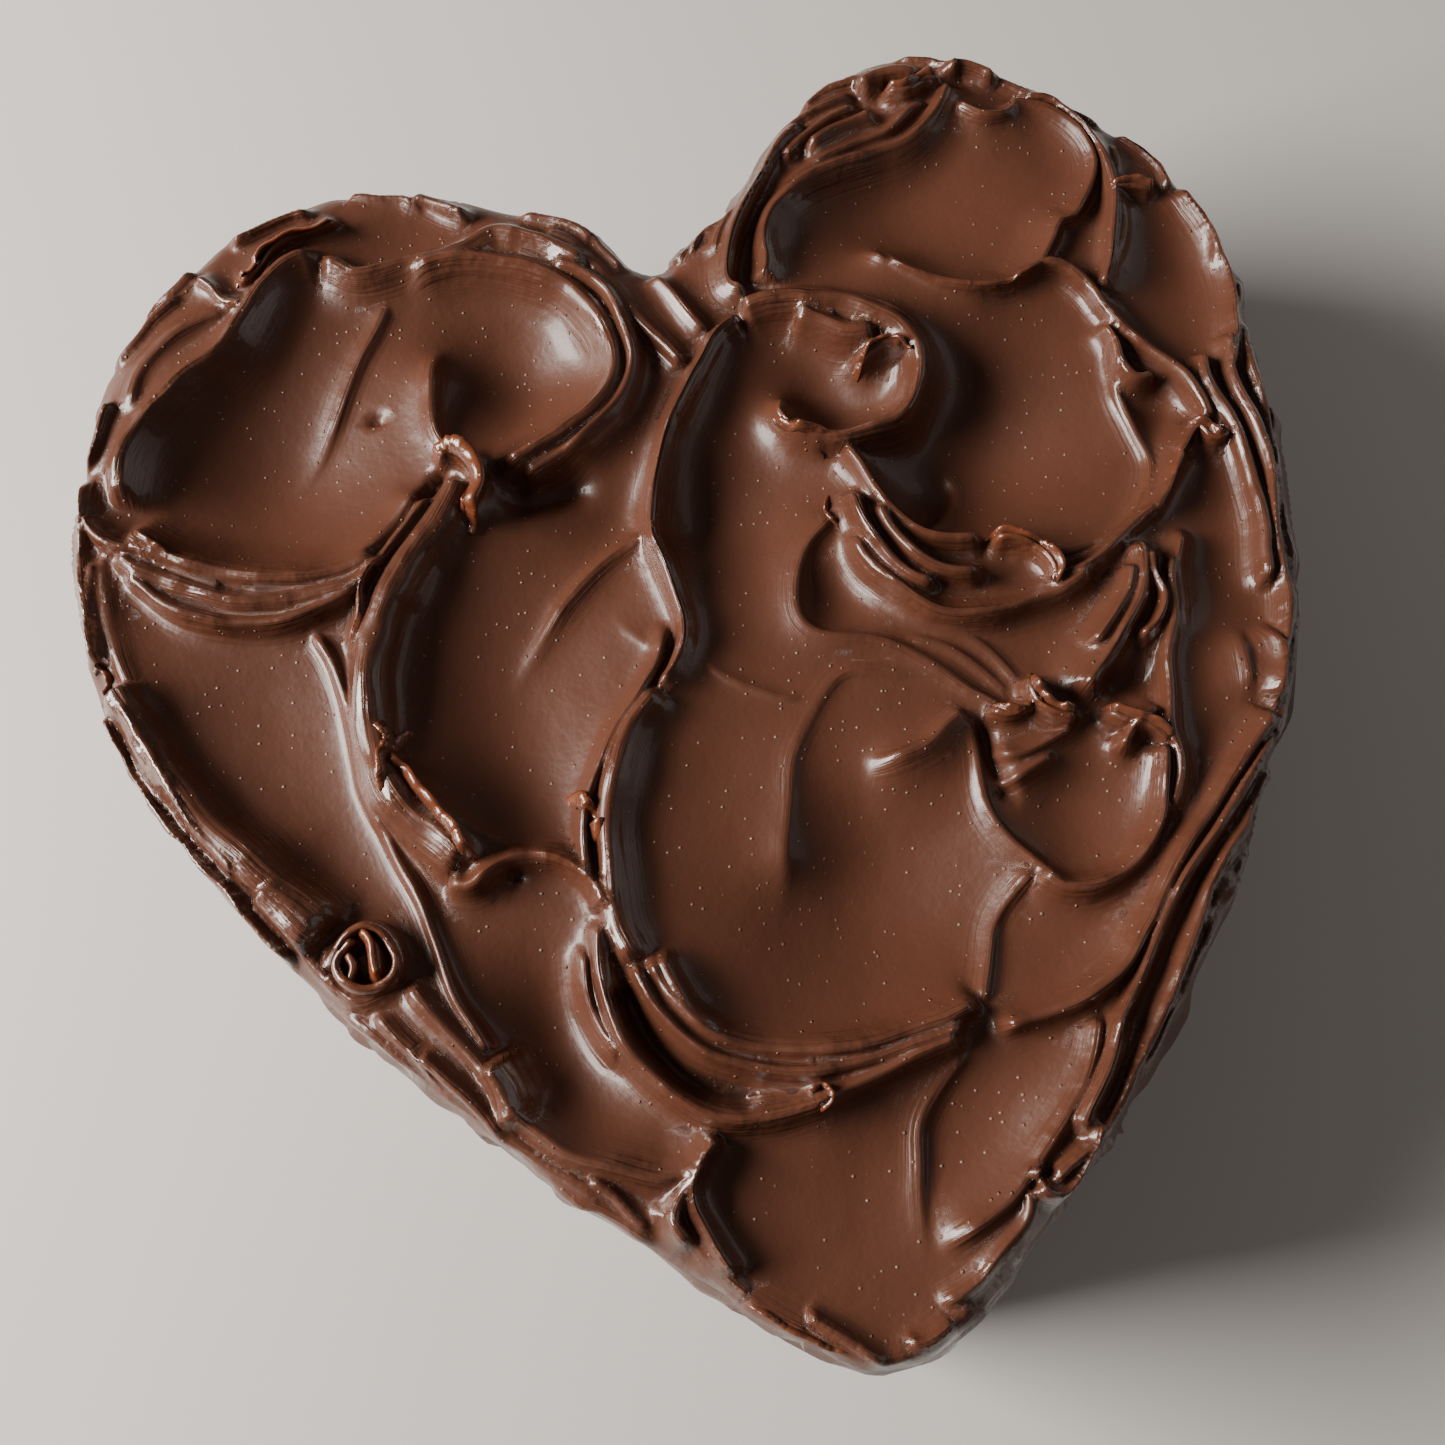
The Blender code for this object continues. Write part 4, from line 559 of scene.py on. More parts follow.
def strands_along_the_rim():
    """One short strand after another round the edge, each as a ridge."""
    random = np.random.default_rng(RIM_SEED)
    line, _ = even_steps(edge, 1.0)
    across = sideways(line, True)
    strands = []
    for number in range(RIM_STRANDS):
        first = int((number + random.uniform(0, 0.7)) * len(line) / RIM_STRANDS)
        length = random.uniform(*RIM_STRAND_LENGTH)
        insets = random.uniform(*RIM_STRAND_INSET, 4)
        spots = [int(first + length * part) % len(line) for part in (0, 0.33, 0.67, 1)]
        points = [tuple(line[spot] - across[spot] * inset) for spot, inset in zip(spots, np.sort(insets))]
        if random.random() < 0.5:
            points = points[::-1]
        lift = random.uniform(1.8, 3.2)
        left, right = random.uniform(0.5, 1.1), random.uniform(0.5, 0.9)
        width = random.uniform(0.1, 0.6)
        strands.append(Ridge(None, lift, left, right, width, (3, 4), points))
    return strands


edge = smooth_path(OUTLINE, EDGE_STEP)
groups = (LEFT_LOBE_RIDGES, LEFT_SIDE_RIDGES, MIDDLE_RIDGES, RIGHT_LOBE_RIDGES, RIGHT_SIDE_RIDGES)
ridges = [ridge for group in groups for ridge in group.values()] + strands_along_the_rim()
crests = [crest_line(ridge, 40 + number) for number, ridge in enumerate(ridges)]

# The skin of icing between the folds, worked out on an even sheet of samples and then read at any place.
SKIN_CELL = 0.8
PLAN_LOW = (-128, -134)
PLAN_HIGH = (128, 138)
SKIN_X = np.arange(PLAN_LOW[0], PLAN_HIGH[0], SKIN_CELL)
SKIN_Y = np.arange(PLAN_LOW[1], PLAN_HIGH[1], SKIN_CELL)
SKIN_ROUNDS = 150
SKIN_SOFTNESS = 1.6
SCOOP_PULL = 5.2
REST_SAG = 0.003


def stretch_skin(pinned, height, pull, cell):
    """A skin held at the pinned samples and pulled down between them, worked out from coarse to fine."""
    scales = [scale for scale in (32, 16, 8, 4, 2, 1) if min(pinned.shape) // scale > 12]
    skin = None
    for scale in scales:
        rows, columns = (-(-side // scale) for side in pinned.shape)

        def gather(values):
            padded = np.zeros((rows * scale, columns * scale))
            padded[: pinned.shape[0], : pinned.shape[1]] = values
            return padded.reshape(rows, scale, columns, scale).sum((1, 3))

        count = gather(pinned)
        held = gather(pinned * height) / np.maximum(count, 1)
        drop = gather(pull) / scale**2 * (cell * scale) ** 2
        coarse = np.zeros((rows, columns)) if skin is None else np.kron(skin, np.ones((2, 2)))
        skin = coarse[:rows, :columns]
        for _ in range(SKIN_ROUNDS):
            skin = np.where(count > 0, held, (neighbours(skin) - drop) / 4)
    return skin


def neighbours(values):
    """The sum of the four samples next to each one."""
    padded = np.pad(values, 1, mode="edge")
    return padded[:-2, 1:-1] + padded[2:, 1:-1] + padded[1:-1, :-2] + padded[1:-1, 2:]


def soften(values, distance, cell):
    """Blurs the values over about this distance."""
    for _ in range(round(2 * (distance / cell) ** 2)):
        values = neighbours(values) / 4
    return values


def read_sheet(values, across, up):
    """The values at places given in samples, blended between the four nearest."""
    across = np.clip(across, 0, values.shape[1] - 1.001)
    up = np.clip(up, 0, values.shape[0] - 1.001)
    i, j = across.astype(int), up.astype(int)
    u, v = across - i, up - j
    lower = values[j, i] * (1 - u) + values[j, i + 1] * u
    upper = values[j + 1, i] * (1 - u) + values[j + 1, i + 1] * u
    return lower * (1 - v) + upper * v


def sagging_skin():
    """The skin's height above the icing's plane, at each of its samples."""
    grid_x, grid_y = np.meshgrid(SKIN_X, SKIN_Y)
    x, y = grid_x.ravel(), grid_y.ravel()
    pins, height = np.zeros(len(x)), np.zeros(len(x))
    for number, (ridge, path) in enumerate(zip(ridges, crests)):
        if ridge.crest is None:
            continue
        distance, _, place, _, _, length = beside(path, x, y, reach=2)
        strength = ease(place / ridge.ends[0]) * ease((length - place) / ridge.ends[1])
        under = (distance < 0.6) & (strength > 0.5)
        pins += under
        height += under * (ridge.crest - ridge.lift + 0.5 * waver(place, 100 + number, 25))
    height /= np.maximum(pins, 1)
    distance, side, place, _, _, _ = beside(edge, x, y)
    at_edge = (-distance * side < 1) & (pins == 0)
    height = np.where(at_edge, 0.6 * waver(place, 5, 40) - 0.5, height)
    pull = np.full(len(x), REST_SAG)
    for scoop in SCOOPS:
        off = np.hypot(x - scoop.x, y - scoop.y) / scoop.radius
        pull += SCOOP_PULL * scoop.depth / scoop.radius**2 * np.exp(-(off**2))
    held = (pins > 0) | at_edge
    shape = grid_x.shape
    skin = stretch_skin(held.reshape(shape), height.reshape(shape), pull.reshape(shape), SKIN_CELL)
    return soften(skin, SKIN_SOFTNESS, SKIN_CELL)


skin = sagging_skin()

# The wall of the cake.
# The wall is the same icing over the side of the sponge. The knife was drawn round and round it, which
# leaves long shallow ridges that climb and fall a little.
WALL_TIERS = [12, 27, 42, 56]
SWEEPS_PER_TIER = 7
SWEEP_LENGTH = (60, 130)
SWEEP_CLIMB = 7
SWEEP_LIFT = (1.0, 2.2)
SWEEP_FLANKS = (1.3, 5.0)
FINE_CLIMB = 5
FOOT_FLARE = 2.2
FOOT_HEIGHT = 7.0
WALL_WAVE = 0.9
RIM_BUMPS = 0.4
WALL_CELL = 0.6
WALL_MARGIN = 4
WALL_INSET = 0.6
WALL_SEED = 11

# Finer sweeps, all over the wall and along its rim: how many, and their runs, heights, lifts and flanks.
FINE_SWEEPS = (90, (18, 60), (3, PLANE_HEIGHT - 2), (0.4, 1.1), (0.7, 2.6))
RIM_SWEEPS = (80, (9, 34), (PLANE_HEIGHT - 13, PLANE_HEIGHT + 1), (0.8, 2.4), (0.5, 1.3))


def wall_sweeps(length):
    """How far the sweeps stand out, over the unrolled wall."""
    across = np.arange(-WALL_MARGIN, length + WALL_MARGIN, WALL_CELL)
    up = np.arange(-WALL_MARGIN, PLANE_HEIGHT + 2 * WALL_MARGIN, WALL_CELL)
    grid_x, grid_y = np.meshgrid(across, up)
    x, y = grid_x.ravel(), grid_y.ravel()
    random = np.random.default_rng(WALL_SEED)
    sweeps = []
    for tier in WALL_TIERS:
        for number in range(SWEEPS_PER_TIER):
            start = length * (number + random.uniform(0, 0.8)) / SWEEPS_PER_TIER
            run = random.uniform(*SWEEP_LENGTH)
            climb = random.uniform(-1, 1) * SWEEP_CLIMB
            middle = tier + random.uniform(-3, 3)
            lift = random.uniform(*SWEEP_LIFT)
            flanks = random.permutation(SWEEP_FLANKS)
            sweeps.append((start, run, middle, climb, lift, flanks))
    for how_many, runs, heights, lifts, both_flanks in (FINE_SWEEPS, RIM_SWEEPS):
        for _ in range(how_many):
            start, run = random.uniform(0, length), random.uniform(*runs)
            middle, climb = random.uniform(*heights), random.uniform(-FINE_CLIMB, FINE_CLIMB)
            lift, flanks = random.uniform(*lifts), random.permutation(both_flanks)
            sweeps.append((start, run, middle, climb, lift, flanks))
    total = np.zeros(len(x))
    for number, (start, run, middle, climb, lift, flanks) in enumerate(sweeps):
        for turn in (-length, 0, length):
            first = start + turn
            points = [(first + run * t, middle + climb * (t - 0.5) * (2 - t)) for t in (0, 0.3, 0.6, 1)]
            path = smooth_path(points, 2.5)
            if path[:, 0].max() < -WALL_MARGIN or path[:, 0].min() > length + WALL_MARGIN:
                continue
            reach = 3.2 * max(flanks)
            distance, side, place, _, _, whole = beside(path, x, y, reach)
            strength = ease(place / min(10, whole / 3)) * ease((whole - place) / min(14, whole / 3))
            strength *= distance < reach
            flank = flanks[1] + (flanks[0] - flanks[1]) * (side + 1) / 2
            fall = np.hypot(distance, 0.7) - 0.7
            margin = ease((reach - distance) / (0.4 * reach))
            uneven = 1 + 0.15 * waver(place, number, 9)
            total += (lift * strength * uneven * np.exp(-fall / flank) * margin) ** 3
    return (total ** (1 / 3)).reshape(grid_x.shape)


def stand_out(place, height):
    """How far the icing stands out from the cake's edge, at a place along it and a height."""
    turn = 2 * math.pi * place / edge_length
    wave = WALL_WAVE * (0.6 * np.sin(5 * turn + height / 17) + 0.4 * np.sin(11 * turn - height / 9 + 1))
    foot = FOOT_FLARE * ease(1 - height / FOOT_HEIGHT)
    foot *= 1 + 0.35 * np.sin(17 * turn) * np.sin(6 * turn + 2)
    swept = read_sheet(sweeps, (place + WALL_MARGIN) / WALL_CELL, (height + WALL_MARGIN) / WALL_CELL)
    bumps = RIM_BUMPS * waver(place + 0.8 * height, 77, 9) * ease((height - PLANE_HEIGHT + 9) / 8)
    return swept + wave + foot + bumps - WALL_INSET


edge_length = sum(math.dist(a, b) for a, b in zip(edge[:-1], edge[1:]))
sweeps = wall_sweeps(edge_length)

# The whole coat of icing.
# It is soft chocolate icing, spread over the sponge and left glossy where the knife drew it out wet. It is
# one closed mesh: the top is spread with triangles that follow the crests, and the wall goes down in rows.
RIM_STEP = 1.5
WALL_ROW = 2.0
LINES_BESIDE_A_CREST = [
    (0, 0.6), (0.35, 0.6), (0.75, 0.62), (1.2, 0.7), (1.75, 0.8), (2.5, 0.95), (3.5, 1.2)]
OPEN_STEP = 1.5


def spread_places(rim):
    """Places for the mesh's points, close along the crests and the rim and wide apart in the bowls."""
    rings = []
    for slope in (78, 66, 54, 42, 30, 18, 6):
        inset = SHOULDER_RADIUS * (1 - math.sin(math.radians(slope)))
        rings.append((rim - sideways(rim, True) * inset, 0.9 * RIM_STEP * 0.6, inset))
    stages = [(rim, 0.01, 0)] + rings
    for offset, step in LINES_BESIDE_A_CREST:
        places = []
        for path in crests:
            line, _ = even_steps(path, step)
            across = sideways(line)
            places += [line] if offset == 0 else [line + across * offset, line - across * offset]
        stages.append((np.vstack(places), 0.62 * step, None))
    rows = np.arange(PLAN_LOW[1], PLAN_HIGH[1], OPEN_STEP * math.sqrt(0.75))
    x, y = np.meshgrid(np.arange(PLAN_LOW[0], PLAN_HIGH[0], OPEN_STEP), rows)
    x[1::2] += OPEN_STEP / 2
    stages.append((np.column_stack([x.ravel(), y.ravel()]), 0.62 * OPEN_STEP, None))
    kept = []
    for places, gap, ring_inset in stages:
        if gap > 0.1:
            cells = np.round(places / (0.8 * gap)).astype(int)
            _, first = np.unique(cells, axis=0, return_index=True)
            places = places[np.sort(first)]
            distance, side, _, _, _, _ = beside(edge, places[:, 0], places[:, 1])
            inset = -distance * side
            places = places[inset > (0.35 if ring_inset is None else ring_inset - 0.2)]
            taken = KDTree(sum(len(part) for part in kept))
            for number, place in enumerate(np.vstack(kept)):
                taken.insert((place[0], place[1], 0), number)
            taken.balance()
            clear = [taken.find((place[0], place[1], 0))[2] > gap for place in places]
            places = places[np.array(clear, bool)]
        kept.append(places)
    return np.vstack(kept)


rim, rim_places = even_steps(edge, RIM_STEP)
count = len(rim)
plan = spread_places(rim)
loop = list(range(count))
_, _, triangles, sources, _, _ = delaunay_2d_cdt([Vector(place) for place in plan], [], [loop], 1, 1e-5)
order = [source[0] for source in sources]
plan = plan[order]
back = {old: new for new, old in enumerate(order)}
on_rim = [back[i] for i in loop]

distance, side, place, left_x, left_y, _ = beside(edge, plan[:, 0], plan[:, 1])
inset = -distance * side
inset[on_rim] = 0
place[on_rim] = rim_places
stand_up, lean_x, lean_y, thin, wet, stroke = fold_the_icing(plan[:, 0], plan[:, 1])
across, up = (plan[:, 0] - SKIN_X[0]) / SKIN_CELL, (plan[:, 1] - SKIN_Y[0]) / SKIN_CELL
over = np.clip(1 - inset / SHOULDER_RADIUS, 0, 1)
shoulder = SHOULDER_RADIUS * (1 - np.sqrt(1 - over**2))
height = PLANE_HEIGHT + read_sheet(skin, across, up) + stand_up - shoulder
push = stand_out(place, height) * over**2
away = ease(inset / 2)
x = plan[:, 0] + left_x * push + lean_x * away
y = plan[:, 1] + left_y * push + lean_y * away
vertices = [np.column_stack([x, y, height])]
faces = [tuple(triangle) for triangle in triangles]

outward = sideways(rim, True)
rim_height = height[on_rim]
rows = round(PLANE_HEIGHT / WALL_ROW)
above = on_rim
first = len(plan)
for row in range(1, rows + 1):
    row_height = rim_height * (1 - row / rows)
    push = stand_out(rim_places, row_height)
    vertices.append(np.column_stack([rim + outward * push[:, None], row_height]))
    below = list(range(first, first + count))
    faces += [(above[i], above[i - count + 1], below[i - count + 1], below[i]) for i in range(count)]
    above = below
    first += count
foot = vertices[-1]
_, _, triangles, sources, _, _ = delaunay_2d_cdt([Vector(point[:2]) for point in foot], [], [loop], 1, 1e-5)
faces += [tuple(above[sources[i][0]] for i in reversed(triangle)) for triangle in triangles]
vertices = np.vstack(vertices)

middle = (vertices[:, :2].min(0) + vertices[:, :2].max(0)) / 2
cad_middle = np.array(((cad_low + cad_high) / 2)[:2]) / MM


def place_in_box(points):
    """Moves points from the plan's middle to the cake's middle, and holds them inside its box."""
    points = points + np.append(cad_middle - middle, 0)
    return np.clip(points, np.array(cad_low) / MM + (0.02, 0.02, 0), np.array(cad_high) / MM - 0.02)


vertices = place_in_box(vertices)
on_wall = len(vertices) - len(plan)
wall_along = np.tile(rim_places, on_wall // count)
wall_up = vertices[len(plan) :, 2]
wall_wet = 0.35 + 0.2 * waver(wall_along + 4 * wall_up, 3, 60)
wall_stroke = np.column_stack([wall_up, wall_along, np.full(on_wall, 0.8)])
thin = np.concatenate([thin, np.zeros(on_wall)])
wet = np.concatenate([wet, wall_wet])
stroke = np.vstack([stroke, wall_stroke])

# The icing's material: mottled dark chocolate, painted redder where light shines through its thin lips, with
# small bubbles whose middles are painted paler as tan specks and glints, and wetter and more crumpled on the
# ropes. Its relief is in metres.
BUBBLES_PER_METRE = 480
SPECK_GLINT_COLOUR = (0.4, 0.25, 0.17, 1)
DARK_CHOCOLATE = (0.082, 0.0284, 0.0158, 1)
PALE_CHOCOLATE = (0.106, 0.0378, 0.021, 1)
LIT_THROUGH_CHOCOLATE = (0.2, 0.05, 0.017, 1)
RELIEF_DEPTH = 0.0004

chocolate = bpy.data.materials.new("chocolate_icing")
chocolate.use_nodes = True
nodes, links = chocolate.node_tree.nodes, chocolate.node_tree.links
shader = nodes["Principled BSDF"]
coordinates = nodes.new("ShaderNodeTexCoord")


def attribute(name):
    node = nodes.new("ShaderNodeAttribute")
    node.attribute_name = name
    return node


def blend(factor, low, high, kind="RGBA"):
    """A colour or a number that runs from low to high as the factor runs from 0 to 1."""
    node = nodes.new("ShaderNodeMix")
    node.data_type = kind
    links.new(factor, node.inputs["Factor"])
    for name, value in (("A", low), ("B", high)):
        if isinstance(value, bpy.types.NodeSocket):
            links.new(value, node.inputs[name])
        else:
            node.inputs[name].default_value = value
    return node.outputs["Result"]


def measure(operation, first, second=0.0, third=0.0):
    """A sum worked out by the material, from numbers or from what other nodes give."""
    node = nodes.new("ShaderNodeMath")
    node.operation = operation
    for socket, value in zip(node.inputs, (first, second, third)):
        if isinstance(value, bpy.types.NodeSocket):
            links.new(value, socket)
        else:
            socket.default_value = value
    return node.outputs["Value"]


def noise(scale, detail, vector):
    node = nodes.new("ShaderNodeTexNoise")
    node.inputs["Scale"].default_value = scale
    node.inputs["Detail"].default_value = detail
    links.new(vector, node.inputs["Vector"])
    return node.outputs["Fac"]


place = coordinates.outputs["Object"]
mottled = blend(noise(28, 5, place), DARK_CHOCOLATE, PALE_CHOCOLATE)
# Thin lips are painted redder, as light shining through them.
lit_through = blend(attribute("lit_through_thinness").outputs["Fac"], mottled, LIT_THROUGH_CHOCOLATE)

bubbles = nodes.new("ShaderNodeTexVoronoi")
bubbles.inputs["Scale"].default_value = BUBBLES_PER_METRE
links.new(place, bubbles.inputs["Vector"])
dome = nodes.new("ShaderNodeMapRange")
dome.interpolation_type = "SMOOTHSTEP"
dome.inputs["From Max"].default_value = 0.2
dome.inputs["To Min"].default_value = 1
dome.inputs["To Max"].default_value = 0
links.new(bubbles.outputs["Distance"], dome.inputs["Value"])
some = nodes.new("ShaderNodeSeparateColor")
links.new(bubbles.outputs["Color"], some.inputs["Color"])
bubble = measure("MULTIPLY", dome.outputs["Result"], measure("GREATER_THAN", some.outputs["Red"], 0.5))
# Bubble middles are painted paler: partly the specks' own tan, partly painted glints.
speckled_with_glints = blend(measure("MULTIPLY", bubble, 0.5), lit_through, SPECK_GLINT_COLOUR)
links.new(speckled_with_glints, shader.inputs["Base Color"])
stroke_parts = nodes.new("ShaderNodeSeparateXYZ")
links.new(attribute("stroke").outputs["Vector"], stroke_parts.inputs["Vector"])
drawn_out = nodes.new("ShaderNodeCombineXYZ")
links.new(measure("MULTIPLY", stroke_parts.outputs["X"], 1.5), drawn_out.inputs["X"])
links.new(measure("MULTIPLY", stroke_parts.outputs["Y"], 0.05), drawn_out.inputs["Y"])
streaks = measure("MULTIPLY", noise(1, 3, drawn_out.outputs["Vector"]), stroke_parts.outputs["Z"])
uneven = measure("MULTIPLY", noise(130, 3, place), 0.6)
grain = measure("MULTIPLY_ADD", noise(900, 4, place), 0.12, measure("MULTIPLY_ADD", bubble, 0.45, uneven))
bump = nodes.new("ShaderNodeBump")
bump.inputs["Distance"].default_value = RELIEF_DEPTH
bump.inputs["Strength"].default_value = 1
wetness = measure("MAXIMUM", attribute("wetness").outputs["Fac"], bubble)
crumpled = measure("MULTIPLY", attribute("wetness").outputs["Fac"], 1.8)
crumple = measure("MULTIPLY", noise(230, 2, place), crumpled)
drawn = measure("MULTIPLY_ADD", wetness, 1.4, 0.3)
relief = measure("MULTIPLY_ADD", streaks, drawn, measure("ADD", grain, crumple))
links.new(relief, bump.inputs["Height"])
links.new(bump.outputs["Normal"], shader.inputs["Normal"])

links.new(blend(wetness, 0.4, 0.22, "FLOAT"), shader.inputs["Roughness"])
links.new(blend(wetness, 0.12, 0.8, "FLOAT"), shader.inputs["Coat Weight"])
shader.inputs["Specular IOR Level"].default_value = 0.33
shader.inputs["Coat Roughness"].default_value = 0.1


def lay_icing(name, vertices, faces, thin, wet, stroke):
    """One piece of icing, with what the material needs to know at each of its points."""
    mesh = bpy.data.meshes.new(name)
    mesh.from_pydata((vertices * MM).tolist(), [], faces)
    mesh.shade_smooth()
    for label, kind, field, values in (
        ("lit_through_thinness", "FLOAT", "value", thin),
        ("wetness", "FLOAT", "value", wet),
        ("stroke", "FLOAT_VECTOR", "vector", stroke.ravel()),
    ):
        mesh.attributes.new(label, kind, "POINT").data.foreach_set(field, values.astype(np.float32))
    mesh.materials.append(chocolate)
    piece = bpy.data.objects.new(name, mesh)
    bpy.context.scene.collection.objects.link(piece)
    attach(piece, "root")
    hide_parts("frosted_cake")
    return piece


lay_icing("icing", vertices, faces, thin, wet, stroke)

# The torn flakes.
# Where the spoon left the icing it tore into upright flakes. They are the same chocolate icing, stuck in
# the coat by their feet, and thin enough at the lip for the light to shine through.
# height: how far it stands up. lean: how far its lip hangs to the left of its run.
# thin: how much light is painted shining through it. thick: how thick its foot is.
Flake = namedtuple("Flake", "height lean thin points thick", defaults=(1.3,))
FLAKES = [
    Flake(2.4, 1.1, 0.55, [(-61.5, -9), (-57.5, -14.5), (-53.5, -21), (-50.5, -27), (-48.5, -32)], 2.2),
    Flake(2.2, -0.8, 0.6, [(-62.5, -1), (-60.8, -5), (-61.8, -10), (-61.6, -16)], 1.8),
    Flake(1.8, 0.7, 0.8, [(-60.5, -8), (-58.8, -5), (-56.6, -2.6)]),
    Flake(1.9, 0.8, 0.8, [(-31.8, -21.5), (-28.8, -22.5), (-26.8, -26.5), (-26.4, -31)], 2.6),
    Flake(2.0, 0.9, 0.6, [
        (-47, 49.7), (-43, 50.6), (-39.6, 47.5), (-38.3, 43.5), (-39.4, 39.5), (-43, 34)], 3.2),
    Flake(1.5, -1.0, 1.0, [(-83, 95), (-78, 98), (-74.5, 102.5), (-69, 105), (-63, 106.5), (-58, 109)]),
    Flake(1.9, 0.7, 0.35, [(55.5, -12.5), (55, -17.5), (57.5, -21.5), (63, -24)]),
    Flake(1.3, -0.6, 0.3, [(56, -20), (51, -21), (46, -18)]),
    Flake(1.4, 0.6, 0.3, [(66, -22), (70, -25.5), (74.5, -28), (77.5, -33)]),
    Flake(1.5, 0.7, 0.5, [(53.5, 14), (59, 13), (63.5, 9.3), (65, 5), (62.8, 1.2)]),
    Flake(1.4, 0.6, 0.5, [(19, 47.5), (22.5, 43), (27, 40.8), (31.5, 39.2)]),
    Flake(1.5, -0.7, 0.5, [(37, 54.3), (40.5, 57.3), (45, 58), (49, 54.5)]),
    Flake(1.4, 0.7, 0.3, [(97, 29.5), (100.5, 28.3), (102, 23.5)]),
    Flake(1.3, 0.5, 0.3, [(95.5, 84), (100.5, 84.4), (106, 82)]),
    Flake(1.3, -0.5, 0.4, [(-115.5, 18.5), (-113, 19.6), (-111, 17), (-112.4, 13.8), (-115, 13.6)]),
    Flake(1.5, 0.6, 0.3, [(55, 117), (60, 115), (65, 117.5), (69.5, 115.5)]),
    Flake(1.3, 0.6, 0.2, [(-104, 43.5), (-101, 41), (-98.5, 38), (-100, 36)]),
    Flake(1.2, 0.5, 0.5, [(1, -79.5), (3.8, -78.6), (4.6, -80.8), (2, -82.4)]),
    Flake(1.3, -0.6, 0.2, [(-14, -109.5), (-9, -114), (-4, -117.5), (1, -119.5)]),
    Flake(1.3, 0.5, 0.3, [(28, 22.5), (26.3, 25), (26.6, 28.5), (28.2, 30)]),
]
LIP_STEP = 0.55
FLAKE_FOOT = 1.2

on_top = KDTree(len(plan))
for number, (px, py) in enumerate(plan):
    on_top.insert((px, py, 0), number)
on_top.balance()


def icing_height(px, py):
    """The height of the coat at the nearest of its points on top."""
    return height[on_top.find((px, py, 0))[1]]


def upright_sheet(line, foot, rise, lean, thickness, thin_at_lip, number):
    """A thin sheet that stands on a line, narrows to its lip and closes at both ends."""
    across = sideways(line)
    front = [(0, 1), (0.35, 0.95), (0.7, 0.75), (0.92, 0.5)]
    levels = front + [(1, 0)] + [(level, -side) for level, side in reversed(front)]
    points, faces, thin, stroke = [], [], [], []
    place = np.arange(len(line)) * LIP_STEP
    lean = lean * (1 + 0.5 * waver(place, 2000 + number, 7))
    for i, (x0, y0) in enumerate(line):
        for level, side in levels:
            off = lean[i] * level**1.6 + 0.5 * thickness * side
            up = foot[i] + (rise[i] + FLAKE_FOOT) * level
            points.append((x0 + across[i, 0] * off, y0 + across[i, 1] * off, up))
            thin.append(thin_at_lip * level**2)
            stroke.append((up, place[i], 0.6))
    size = len(levels)
    for i in range(len(line) - 1):
        for j in range(size):
            k = (j + 1) % size
            faces.append((i * size + j, (i + 1) * size + j, (i + 1) * size + k, i * size + k))
    faces.append(tuple(range(size)))
    faces.append(tuple(reversed(range((len(line) - 1) * size, len(line) * size))))
    return np.array(points), faces, np.array(thin), np.array(stroke)


def join(parts):
    """Several sheets as one set of points and faces."""
    faces, first = [], 0
    for part in parts:
        faces += [tuple(first + corner for corner in face) for face in part[1]]
        first += len(part[0])
    points, _, thin, stroke = (list(column) for column in zip(*parts))
    return np.vstack(points), faces, np.concatenate(thin), np.vstack(stroke)


sheets = []
for number, flake in enumerate(FLAKES):
    line, _ = even_steps(smooth_path(flake.points, 0.4), LIP_STEP)
    along = np.linspace(0, 1, len(line))
    taper = np.sqrt(ease(along / 0.3) * ease((1 - along) / 0.3))
    rise = flake.height * taper * (1 + 0.3 * waver(along * 20, 1500 + number, 6)) - 0.3
    foot = np.array([icing_height(px, py) for px, py in line]) - FLAKE_FOOT
    sheets.append(upright_sheet(line, foot, rise, flake.lean, flake.thick, flake.thin, number))
points, faces, thin, stroke = join(sheets)
lay_icing("torn_flakes", place_in_box(points), faces, thin, np.full(len(points), 0.9), stroke)

# The curl.
# At the left edge a strip of the icing about 7 mm high rolled up once round, with its torn ends inside.
# It is the same chocolate icing and stands in the coat.
CURL_PLACE = (-69.2, -44.2)
CURL_RADIUS = 6.3
CURL_TURNS = 1.15
CURL_FOOT = 69.5
CURL_RISE = 6.6
CURL_STRIPS = [
    (6.2, 1.2, 0.9, [(-71.5, -38.8), (-69.4, -40.5), (-68.6, -43.5), (-68.8, -47), (-66.8, -49.8)]),
    (5.4, -0.8, 0.6, [(-68.3, -39.4), (-66.6, -42.5), (-66.4, -46), (-67.6, -49.2)]),
    (5.0, 0.7, 0.4, [(-73.4, -41.5), (-72, -44.5), (-72.6, -47.6), (-70.4, -49.6)]),
]

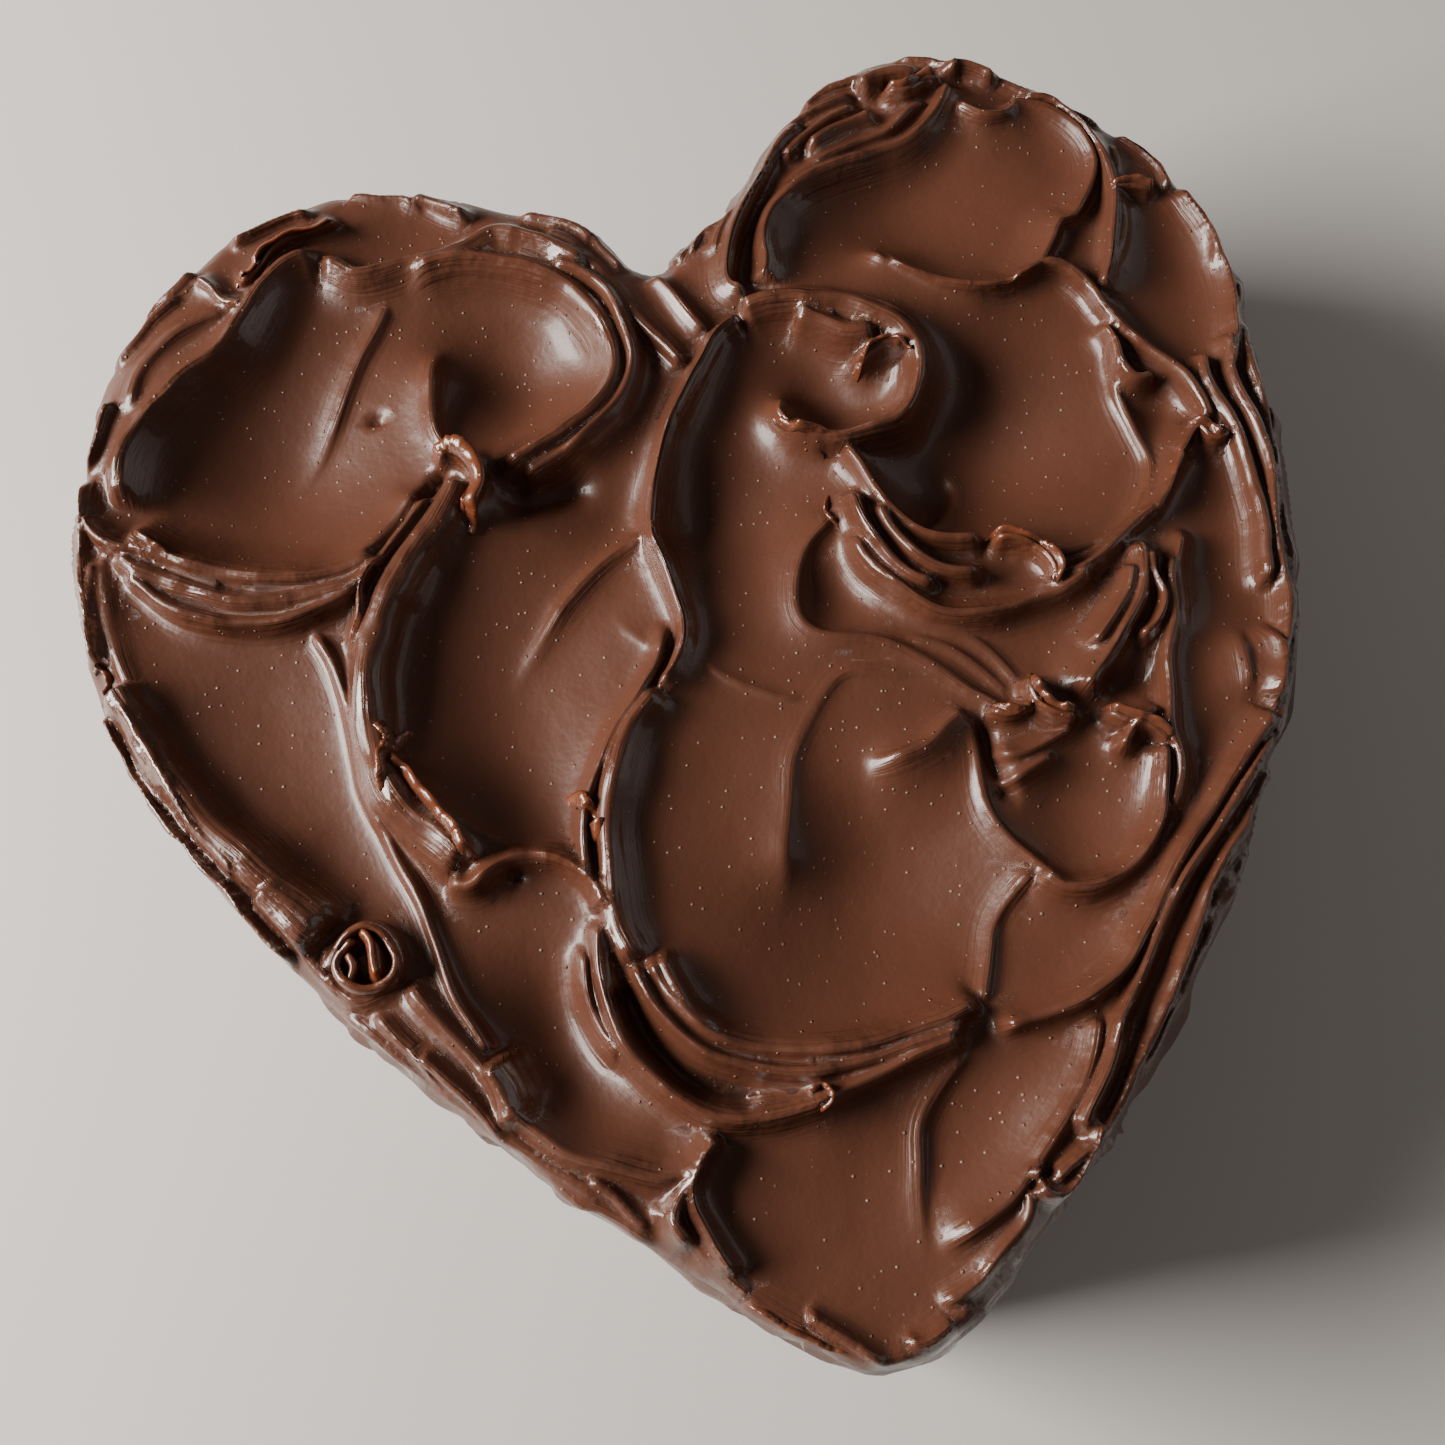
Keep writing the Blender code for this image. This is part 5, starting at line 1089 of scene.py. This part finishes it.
turn = np.linspace(0, CURL_TURNS, 80)
angle = math.radians(150) - 2 * math.pi * turn
radius = CURL_RADIUS * (1 - 0.16 * turn / CURL_TURNS) + 0.4 * waver(turn * 40, 61, 16)
wound = np.column_stack([CURL_PLACE[0] + radius * np.cos(angle), CURL_PLACE[1] + radius * np.sin(angle)])
rise = CURL_RISE * (0.86 + 0.12 * waver(turn * 40, 62, 12)) * np.sqrt(ease((CURL_TURNS - turn) * 12 + 0.1))
rolled = upright_sheet(wound, np.full(len(wound), CURL_FOOT), rise, -0.8, 2.6, 0.2, 60)
strips = [rolled]
for number, (strip_rise, lean, thin_at_lip, path) in enumerate(CURL_STRIPS):
    line, _ = even_steps(smooth_path(path, 0.3), LIP_STEP)
    along = np.linspace(0, 1, len(line))
    rise = strip_rise * np.sqrt(ease(along / 0.25 + 0.1) * ease((1 - along) / 0.25 + 0.1))
    foot = np.full(len(line), CURL_FOOT)
    strips.append(upright_sheet(line, foot, rise, lean, 2.3, thin_at_lip, 70 + number))
points, faces, thin, stroke = join(strips)
lay_icing("curl", place_in_box(points), faces, thin, np.full(len(points), 1.0), stroke)

# The floor.
# A plain pale sheet for the cake to stand on, with a soft light from the left and a weak one from the right.
# It is stage, and no part of the cake.
FLOOR_COLOUR = (0.62, 0.60, 0.58, 1)

bpy.ops.mesh.primitive_plane_add(size=6, location=(0, 0, 0))
floor = bpy.context.object
floor.name = "floor"
paper = bpy.data.materials.new("floor")
paper.use_nodes = True
paper.node_tree.nodes["Principled BSDF"].inputs["Base Color"].default_value = FLOOR_COLOUR
paper.node_tree.nodes["Principled BSDF"].inputs["Roughness"].default_value = 0.6
floor.data.materials.append(paper)


def window(name, place, size, power, colour):
    """A soft light that faces the cake."""
    light = bpy.data.lights.new(name, "AREA")
    light.shape = "RECTANGLE"
    light.size, light.size_y = size
    light.energy = power
    light.color = colour
    lamp = bpy.data.objects.new(name, light)
    lamp.location = place
    lamp.rotation_euler = (Vector((0, 0, 0.06)) - Vector(place)).to_track_quat("-Z", "Y").to_euler()
    bpy.context.scene.collection.objects.link(lamp)
    return lamp


window("window", (-0.94, 0.16, 0.57), (0.62, 0.44), 35, (1, 0.955, 0.9))
window("fill", (0.8, 0.1, 0.3), (0.9, 0.45), 0.9, (1, 0.96, 0.93))
world = bpy.data.worlds.new("room")
world.use_nodes = True
world.node_tree.nodes["Background"].inputs["Color"].default_value = (1, 0.93, 0.86, 1)
world.node_tree.nodes["Background"].inputs["Strength"].default_value = 0.1
bpy.context.scene.world = world

# The camera.
# It looks down on the cake from above its tip. Place in millimetres, turn in degrees, focal length and frame
# width in pixels.
CAMERA_PLACE = (-10.1, -91.8, 322.75)
CAMERA_TURN = (17.66, 1.215, -10.2)
FOCAL_LENGTH = 1447
FRAME_WIDTH = 1445
camera = bpy.data.objects.new("camera", bpy.data.cameras.new("camera"))
camera.location = (Vector(CAMERA_PLACE) + Vector((*(cad_middle - middle), 0))) * MM
camera.rotation_euler = Euler([math.radians(angle) for angle in CAMERA_TURN])
camera.data.sensor_width = 36
camera.data.lens = 36 * FOCAL_LENGTH / FRAME_WIDTH
camera.data.clip_start = 0.01
bpy.context.scene.collection.objects.link(camera)
bpy.context.scene.camera = camera
